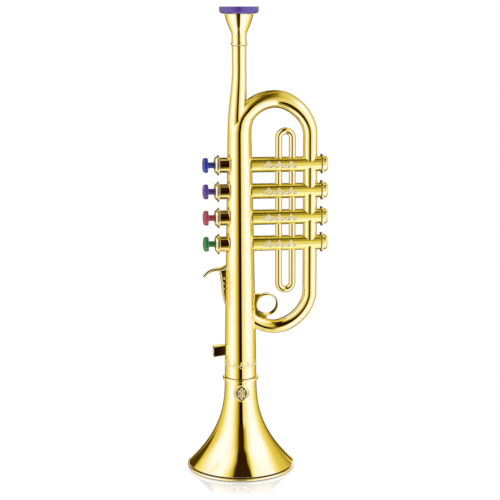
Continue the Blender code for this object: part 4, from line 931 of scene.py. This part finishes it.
BUTTONS = [
    ("blue", (0.006, 0.036, 0.34), (0.004, 0.028, 0.28)),
    ("purple", (0.115, 0.042, 0.30), (0.095, 0.034, 0.25)),
    ("red", (0.56, 0.058, 0.075), (0.48, 0.046, 0.060)),
    ("green", (0.010, 0.27, 0.035), (0.008, 0.22, 0.026)),
]
rod_root, pad_back = SEAT_BACK - GAP, CHEST_RIGHT + 2 * GAP + PAD_THICK
outline = soften([
    (NEAR_AXIS, HEAD_FRONT), (0.0032, HEAD_FRONT), (0.0050, HEAD_FRONT + 0.0004), (HEAD, HEAD_FRONT + 0.0016),
    (HEAD, HEAD_BACK - 0.0004), (HEAD - 0.0004, HEAD_BACK), (STEM, HEAD_BACK), (STEM, COLLAR_FRONT),
    (COLLAR, COLLAR_FRONT), (COLLAR, COLLAR_BACK), (STEM, COLLAR_BACK), (STEM, rod_root), (ROD, rod_root),
    (ROD, CHEST_RIGHT), (NECK, CHEST_RIGHT), (NECK, pad_back), (TIP, pad_back), (NECK, pad_back + 0.0010),
    (NEAR_AXIS, pad_back + 0.0010),
], 0.0005, 4)
for number, (height, (word, colour, dark)) in enumerate(zip(VALVES, BUTTONS), 1):
    button = lathe(f"button_{word}_turned", outline, "X", (0, 0, height), 72)
    dress(button, coloured_plastic(f"{word}_plastic", colour, dark), f"button_{word}",
          f"button_{number}_{word}", body=f"button_{number}")

# Springs. Four coils of steel wire round the stems. Each one presses between the button's collar and the seat
# in its casing, with a closed turn at each end. In the real toy it shortens as the button goes in; here each
# is built at one length.
WIRE = 0.00025
COIL, COIL_TURNS = 0.0029, 6.0
COIL_LEFT, COIL_RIGHT = -0.0171, -0.0100


def drawn_metal(name, colour, dark, rough):
    """Drawn or rolled metal: a fine uneven skin, a little darker in spots."""
    return uneven_finish(name, colour, dark, cloud=(420.0, 4.0), gloss=(rough, rough + 0.18),
                         skin=(2600.0, 2.0), bump=(0.15, 0.00005), Metallic=1.0)


def coil_along(share):
    """Place of the wire along the coil: the end turns lie flat, the others are evenly spaced."""
    turn, closed = share * COIL_TURNS, 2 * WIRE
    pitch = (COIL_RIGHT - COIL_LEFT - 3 * closed) / (COIL_TURNS - 2)
    if turn < 1:
        return COIL_LEFT + WIRE + closed * turn
    if turn > COIL_TURNS - 1:
        return COIL_RIGHT - WIRE - closed * (COIL_TURNS - turn)
    return COIL_LEFT + WIRE + closed + pitch * (turn - 1)


def coil(name, height):
    """A wound spring about the stem's axis at a height."""
    steps, sides = int(COIL_TURNS * 40), 12
    verts = []
    for i in range(steps + 1):
        angle = 2 * pi * COIL_TURNS * i / steps
        outward = Vector((0, cos(angle), sin(angle)))
        middle = AXIS + Vector((coil_along(i / steps), 0, height)) + outward * COIL
        onward = Vector((0, -sin(angle), cos(angle))) * COIL * 2 * pi * COIL_TURNS / steps
        advance = coil_along(min((i + 1) / steps, 1)) - coil_along(i / steps)
        side = (onward + Vector((advance, 0, 0))).normalized().cross(outward)
        for turn in ring_angles(sides):
            verts.append(middle + outward * (WIRE * cos(turn)) + side * (WIRE * sin(turn)))
    return mesh_piece(name, verts, skin_faces(steps + 1, sides) + end_faces(len(verts), sides), 50)


spring_steel = drawn_metal("spring_steel", (0.62, 0.61, 0.58), (0.42, 0.41, 0.39), 0.22)
for number, height in enumerate(VALVES, 1):
    spring = dress(coil(f"spring_{number}_wound", height), spring_steel, "spring_steel",
                   f"return_spring_{number}")
    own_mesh(spring)

# Valve pads. Soft black rubber washers clipped into the neck of each button's rod. Each covers the
# port of its reed cell until its button is pressed.
pad_rubber = moulded_plastic("pad_rubber", (0.035, 0.034, 0.033), (0.018, 0.018, 0.018), 0.75, 1400.0)
PAD, PAD_HOLE = 0.0042, 0.0011
PAD_LEFT, PAD_RIGHT = CHEST_RIGHT + GAP, CHEST_RIGHT + GAP + PAD_THICK
outline = closed_outline([
    (PAD_HOLE, PAD_LEFT), (0.0034, PAD_LEFT), (0.0036, PAD_LEFT + 0.0002), (0.0038, PAD_LEFT),
    (PAD, PAD_LEFT + 0.0002), (PAD, PAD_RIGHT - 0.0003), (PAD - 0.0004, PAD_RIGHT),
    (PAD_HOLE + 0.0005, PAD_RIGHT), (PAD_HOLE, PAD_RIGHT - 0.0003),
], 0.0002)
for number, height in enumerate(VALVES, 1):
    dress(lathe(f"pad_{number}_turned", outline, "X", (0, 0, height), 64), pad_rubber, "pad_rubber",
          f"valve_pad_{number}", body=f"button_{number}")

# Reed chest. A moulded bar of white plastic across the inside of the main tube, with a cell and a
# port for each note. A brass plate closes its left side, and a thin brass reed is riveted over each
# slot in the plate.
chest_plastic = moulded_plastic("chest_plastic", (0.78, 0.76, 0.70), (0.70, 0.67, 0.60), 0.42, 1100.0)
plate_brass = drawn_metal("plate_brass", (0.80, 0.62, 0.25), (0.66, 0.48, 0.18), 0.26)
reed_brass = drawn_metal("reed_brass", (0.86, 0.66, 0.30), (0.74, 0.54, 0.22), 0.18)
for node, material in [("reed_chest", chest_plastic), ("reed_plate", plate_brass)] + [
        (f"reed_{number}", reed_brass) for number in range(1, 5)]:
    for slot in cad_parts[node].material_slots:
        slot.material = material

# Screws. Five zinc-plated screws with cross-slotted pan heads. They are driven from the back, deep in
# round wells, through the back half into the front half.
SCREW_SEAT, WELL, WELL_LINING = 0.0026, 0.0028, 0.0010
SCREW_HEAD, HEAD_HIGH, THREAD, THREADS = 0.0023, 0.0015, 0.0011, 11
SLOT_HALF, SLOT_SIDE, SLOT_DEPTH = 0.0015, 0.00026, 0.0008
SCREWS = [(0, TUBE_FOOT + 0.0340), (0, 0.1544), (LOOP_WIDTH, VALVES[-1] - 0.0110),
          (LOOP_WIDTH, VALVES[0] + 0.0110), (0.01231, 0.29389)]
WELL_CUT = [(CENTRE, SCREW_SEAT), (WELL, SCREW_SEAT), (WELL, CUT_OUTER), (CENTRE, CUT_OUTER)]
screw_zinc = drawn_metal("screw_zinc", (0.66, 0.66, 0.68), (0.50, 0.50, 0.50), 0.24)
for piece, places in ((main_tube, SCREWS[:2]), (loop_tube, SCREWS[2:])):
    bore_out(piece, [lathe("well_cutter", WELL_CUT, "Y", (x, 0, z), 64) for x, z in places])
head, top = SCREW_SEAT + GAP, SCREW_SEAT + GAP + HEAD_HIGH
outline = [(NEAR_AXIS, -0.0036), (0.0006, -0.0034)]
for i in range(THREADS):
    for radius, share in ((THREAD - 0.0002, 0.25), (THREAD, 0.75)):
        outline.append((radius, mix(-0.0030, head - 0.0002, (i + share) / THREADS)))
outline += soften([(THREAD, head), (SCREW_HEAD, head), (SCREW_HEAD, top - 0.0006),
                   (SCREW_HEAD * 0.8, top - 0.0001), (NEAR_AXIS, top)], 0.0004, 4)
for number, (x, z) in enumerate(SCREWS, 1):
    screw = lathe(f"screw_{number}_pan_head", outline, "Y", (x, 0, z), 48)
    slots = []
    for wide, high in ((SLOT_HALF, SLOT_SIDE), (SLOT_SIDE, SLOT_HALF)):
        box = [AXIS + Vector((x + a * wide, y, z + b * high)) for y in (top - SLOT_DEPTH, top + 0.001)
               for a, b in ((-1, -1), (1, -1), (1, 1), (-1, 1))]
        slots.append(mesh_piece("slot_cutter", box, end_faces(8, 4) + skin_faces(2, 4)))
    bore_out(screw, slots)
    dress(screw, screw_zinc, "screw_steel", f"body_screw_{number}")
    if x == 0:
        # Painted shade: each well in the main tube gets a lining of the dark brown, which darkens its recess.
        lining, inner = WELL + WELL_LINING, SCREW_SEAT - 0.0015
        rim = sqrt(tube_radius(z) ** 2 - lining ** 2) - 0.0003
        well = closed_outline([(0.0014, SCREW_SEAT), (WELL, SCREW_SEAT), (WELL, rim), (lining, rim),
                               (lining, inner), (0.0014, inner)], 0.0002, 2)
        dress(lathe(f"body_screw_well_shade_{number}", well, "Y", (x, 0, z), 64), painted_shade_plastic, "gold_body")

# Mouthpiece. A slim stem and a cup, plated like the body and pushed into the leading pipe, and a
# purple plastic rim whose skirt sits in the top of the cup.
CUP_FOOT = 0.3402
CUP_TOP = 0.3643
mouth_gold = plated_gold("mouthpiece_gold", GOLD, DEEP_GOLD, 0.03)
start, end = Vector((0.0058, CUP_FOOT + 0.0078)), Vector((0.0113, CUP_TOP))
reach = end - start
first = start + Vector((0, reach.y * 0.22))
second = start + Vector((reach.x * 0.51, reach.y * 0.31))
wall = [cubic(start, first, second, end, share) for share in shares(40)]
ledge = CUP_TOP - 0.0029
bowl = [cubic(Vector((0.0080, ledge)), Vector((0.0080, ledge - 0.0059)), Vector((0.0051, ledge - 0.0118)),
              Vector((0.0022, ledge - 0.0118)), share) for share in shares(24)]
outline = soften([
    (0.0022, CUP_FOOT - 0.0100), (0.0038, CUP_FOOT - 0.0100), (0.0038, CUP_FOOT), (0.0058, CUP_FOOT),
    (0.0064, CUP_FOOT + 0.0006), (0.0064, CUP_FOOT + 0.0018), (0.0058, CUP_FOOT + 0.0024),
    (0.0058, CUP_FOOT + 0.0050),
], 0.0004)
outline += wall + soften([wall[-1], (0.0092, CUP_TOP), (0.0092, ledge), (0.0080, ledge)], 0.0003, 2)[1:-1]
cup = lathe("mouthpiece_cup_turned", outline + bowl)
dress(cup, mouth_gold, "gold_mouthpiece", "mouthpiece_cup")
RIM_FOOT, RIM_TOP = 0.3646, 0.3700
rim_purple = coloured_plastic("rim_purple", (0.115, 0.052, 0.33), (0.095, 0.04, 0.28), 0.30)
outline = soften([
    (0.0077, RIM_FOOT - 0.0026), (0.0089, RIM_FOOT - 0.0026), (0.0089, RIM_FOOT), (0.0133, RIM_FOOT),
    (0.0153, RIM_FOOT + 0.0012), (0.0153, RIM_TOP - 0.0002), (0.0150, RIM_TOP), (0.0080, RIM_TOP),
    (0.0077, RIM_TOP - 0.0010), (0.0077, RIM_FOOT - 0.0020),
], 0.0012, 6)
dress(lathe("mouthpiece_rim_turned", outline), rim_purple, "purple_rim", "mouthpiece_rim")

# Studio. A plain white table and white surroundings, with large soft lights at both sides and the
# dark room between them, which the plating mirrors as dark lines.
WHITE, WHITE_DISC, TABLE_GLOW = (1, 1, 1, 1), 0.10, 1.04
SHEEN, SHEEN_FULL, SHEEN_GONE = 0.36, 0.040, 0.085
bm = bmesh.new()
bmesh.ops.create_circle(bm, cap_ends=True, radius=WHITE_DISC, segments=96)
floor_mesh = bpy.data.meshes.new("table_top")
bm.to_mesh(floor_mesh)
bm.free()
floor = placed("table_top", floor_mesh)
floor.location = AXIS - Vector((0, 0, 0.0001))
material = bpy.data.materials.new("white_table")
material.use_nodes = True
tree = material.node_tree
tree.nodes.clear()
glow = add_node(tree, "ShaderNodeEmission", {"Color": WHITE, "Strength": TABLE_GLOW})["Emission"]
gloss = add_node(tree, "ShaderNodeBsdfGlossy", {"Color": WHITE, "Roughness": 0.10})["BSDF"]
place = add_node(tree, "ShaderNodeTexCoord", {})["Object"]
spread = add_node(tree, "ShaderNodeVectorMath", {0: place}, operation="LENGTH")["Value"]
sheen = smooth_step(tree, spread, SHEEN_FULL, SHEEN_GONE, SHEEN, 0.0)
surface = add_node(tree, "ShaderNodeMixShader", {"Fac": sheen, 1: glow, 2: gloss})["Shader"]
add_node(tree, "ShaderNodeOutputMaterial", {"Surface": surface})
floor_mesh.materials.append(material)
floor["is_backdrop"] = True

world = bpy.data.worlds.new("studio")
bpy.context.scene.world = world
world.use_nodes = True
studio = world.node_tree
studio.nodes.clear()


def product(value, *others):
    """The product of the studio's sockets and numbers."""
    for other in others:
        value = maths(studio, "MULTIPLY", value, other)
    return value


def studio_ramp(value, stops, low, high):
    """Brightness that follows a value from 0 to 1 through stops, with places from low to high."""
    bright = add_node(studio, "ShaderNodeFloatCurve", {"Value": value})[0]
    mapping = bright.node.mapping
    points = mapping.curves[0].points
    while len(points) < len(stops):
        points.new(0.5, 0.5)
    for point, (place, level) in zip(points, stops):
        point.location = (place - low) / (high - low), level
        point.handle_type = "VECTOR"
    mapping.update()
    return bright


def between(value, low, high):
    """0 at low and 1 at high, with a smooth step between; low may be the greater one."""
    return smooth_step(studio, value, low, high)


def blend(low, high, factor):
    """low where the factor is 0, high where it is 1."""
    return maths(studio, "MULTIPLY_ADD", maths(studio, "SUBTRACT", high, low), factor, low)


place = add_node(studio, "ShaderNodeTexCoord", {})["Generated"]
x, y, z = add_node(studio, "ShaderNodeSeparateXYZ", {0: place})
FACING = radians(-6)
side = maths(studio, "ADD", product(x, cos(FACING)), product(y, sin(FACING)))
front = maths(studio, "SUBTRACT", product(x, sin(FACING)), product(y, cos(FACING)))
share = maths(studio, "ADD", maths(studio, "DIVIDE", maths(studio, "ARCTAN2", side, front), 2 * pi), 0.5)
SIDES = [
    (-180, 0.0), (-165, 0.05), (-150, 0.30), (-130, 0.56), (-111, 0.64), (-97, 0.82), (-84, 0.93), (-68, 1.0),
    (-51, 0.95), (-42, 0.88), (-32, 0.70), (-23, 0.55), (-14, 0.33), (-7, 0.06), (-4, 0.0), (11.9, 0.0),
    (12.6, 0.68), (16, 0.74), (23, 0.78), (32, 0.85), (42, 0.92), (55, 1.0), (84, 0.95), (97, 0.84),
    (111, 0.68), (130, 0.54), (150, 0.28), (165, 0.05), (180, 0.0)]
HIGH = [
    (-180, 0.0), (-165, 0.05), (-150, 0.20), (-130, 0.60), (-118, 0.80), (-101, 0.95), (-90, 1.0), (-60, 1.0),
    (-42, 0.92), (-30, 0.75), (-22, 0.55), (-13, 0.30), (-9, 0.02), (12.8, 0.02), (15, 0.36), (20, 0.42),
    (30, 0.80), (45, 0.98), (60, 1.0), (92, 1.0), (101, 0.90), (118, 0.60), (130, 0.52), (150, 0.45),
    (165, 0.3), (180, 0.0)]
ABOVE = [
    (-1, 0.7), (-0.7, 0.95), (-0.5, 1.0), (-0.32, 0.85), (-0.21, 0.55), (-0.155, 0.32), (-0.125, 0.015),
    (0.21, 0.015), (0.23, 0.33), (0.28, 0.46), (0.36, 0.88), (0.6, 1.0), (0.8, 0.85), (1, 0.6)]
OVERHEAD = [
    (-1, 0.6), (-0.7, 0.92), (-0.5, 1.0), (-0.32, 0.75), (-0.22, 0.45), (-0.16, 0.02), (0.245, 0.02),
    (0.28, 0.65), (0.36, 0.95), (0.6, 1.0), (0.8, 0.75), (1, 0.55)]
BEHIND = [
    (-1, 0.6), (-0.5, 1.0), (-0.3, 0.75), (-0.16, 0.4), (-0.1, 0.04), (0.06, 0.04), (0.09, 0.42), (0.2, 0.5),
    (0.4, 0.9), (0.7, 1.0), (1, 0.6)]
BELOW = [
    (-180, 0.0), (-165, 0.05), (-150, 0.30), (-130, 0.56), (-97, 0.85), (-68, 1.0), (-36, 0.95), (-24, 0.65),
    (-17, 0.05), (10, 0.0), (15, 0.95), (60, 1.0), (97, 0.84), (130, 0.54), (150, 0.28), (165, 0.05),
    (180, 0.0)]
across = maths(studio, "ADD", product(side, 0.5), 0.5)
away, down = product(front, -1.0), product(z, -1.0)
round_about, round_high, below = [studio_ramp(share, stops, -180, 180) for stops in (SIDES, HIGH, BELOW)]
above, overhead, behind = [studio_ramp(across, stops, -1, 1) for stops in (ABOVE, OVERHEAD, BEHIND)]
level = blend(round_about, round_high, between(z, 0.30, 0.50))
level = blend(level, above, between(z, 0.72, 0.81))
level = blend(level, overhead, between(z, 0.860, 0.920))
level = blend(level, behind, product(between(away, -0.20, -0.08), between(z, 0.68, 0.78)))
level = blend(level, maths(studio, "MAXIMUM", overhead, 0.5), between(z, 0.958, 0.968))
left_rear = product(between(side, -0.12, -0.32), between(away, 0.58, 0.70), between(z, 0.02, 0.12))
level = blend(level, 0.06, left_rear)
rear = product(between(away, 0.80, 0.88), between(side, -0.25, -0.05), between(z, 0.06, 0.14),
               between(z, 0.60, 0.45))
level = blend(level, blend(0.72, 1.0, between(z, 0.29, 0.33)), rear)
level = blend(level, below, between(down, 0.26, 0.40))
level = maths(studio, "MAXIMUM", level, product(between(down, 0.72, 0.82), 0.32))
LIGHT = 2.2
TONES = [
    (0.0, (0.012, 0.002, 0.0)), (0.12, (0.127, 0.070, 0.0)), (0.35, (0.42, 0.31, 0.03)),
    (0.65, (0.86, 0.73, 0.20)), (0.85, (1.0, 0.97, 0.98)), (1.0, (1.10, 1.16, 2.15))]
colours = add_node(studio, "ShaderNodeValToRGB", {"Fac": level})["Color"]
stops = colours.node.color_ramp.elements
while len(stops) < len(TONES):
    stops.new(0.5)
for stop, (place, tone) in zip(stops, TONES):
    stop.position = place
    stop.color = (*[t / LIGHT for t in tone], 1)
surround = add_node(studio, "ShaderNodeBackground", {"Color": colours, "Strength": LIGHT})["Background"]
backdrop = add_node(studio, "ShaderNodeBackground", {"Color": WHITE, "Strength": 1.0})["Background"]
seen = add_node(studio, "ShaderNodeLightPath", {})["Is Camera Ray"]
chooser = add_node(studio, "ShaderNodeMixShader", {"Fac": seen, 1: surround, 2: backdrop})["Shader"]
add_node(studio, "ShaderNodeOutputWorld", {"Surface": chooser})

# Camera. It stands a metre in front, a little to the left and above, and looks down at the object.
STAND, DISTANCE, EYE_LEVEL = radians(-6), 1.040, 0.370
HEADING, PITCH, ROLL = radians(6.44), radians(10.42), radians(-0.18)
FOCAL, PICTURE, SENSOR = 1324.5, 500.0, 36.0
camera = placed("camera", bpy.data.cameras.new("camera"))
camera.data.sensor_width = SENSOR
camera.data.lens = FOCAL * SENSOR / PICTURE
camera.location = AXIS + Vector((sin(STAND) * DISTANCE, -cos(STAND) * DISTANCE, EYE_LEVEL))
forward = Vector((sin(HEADING) * cos(PITCH), cos(HEADING) * cos(PITCH), -sin(PITCH)))
camera.rotation_mode = "QUATERNION"
camera.rotation_quaternion = forward.to_track_quat("-Z", "Y") @ Quaternion((0, 0, 1), ROLL)
bpy.context.scene.camera = camera
bpy.context.scene.view_settings.view_transform = "Standard"

low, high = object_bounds()
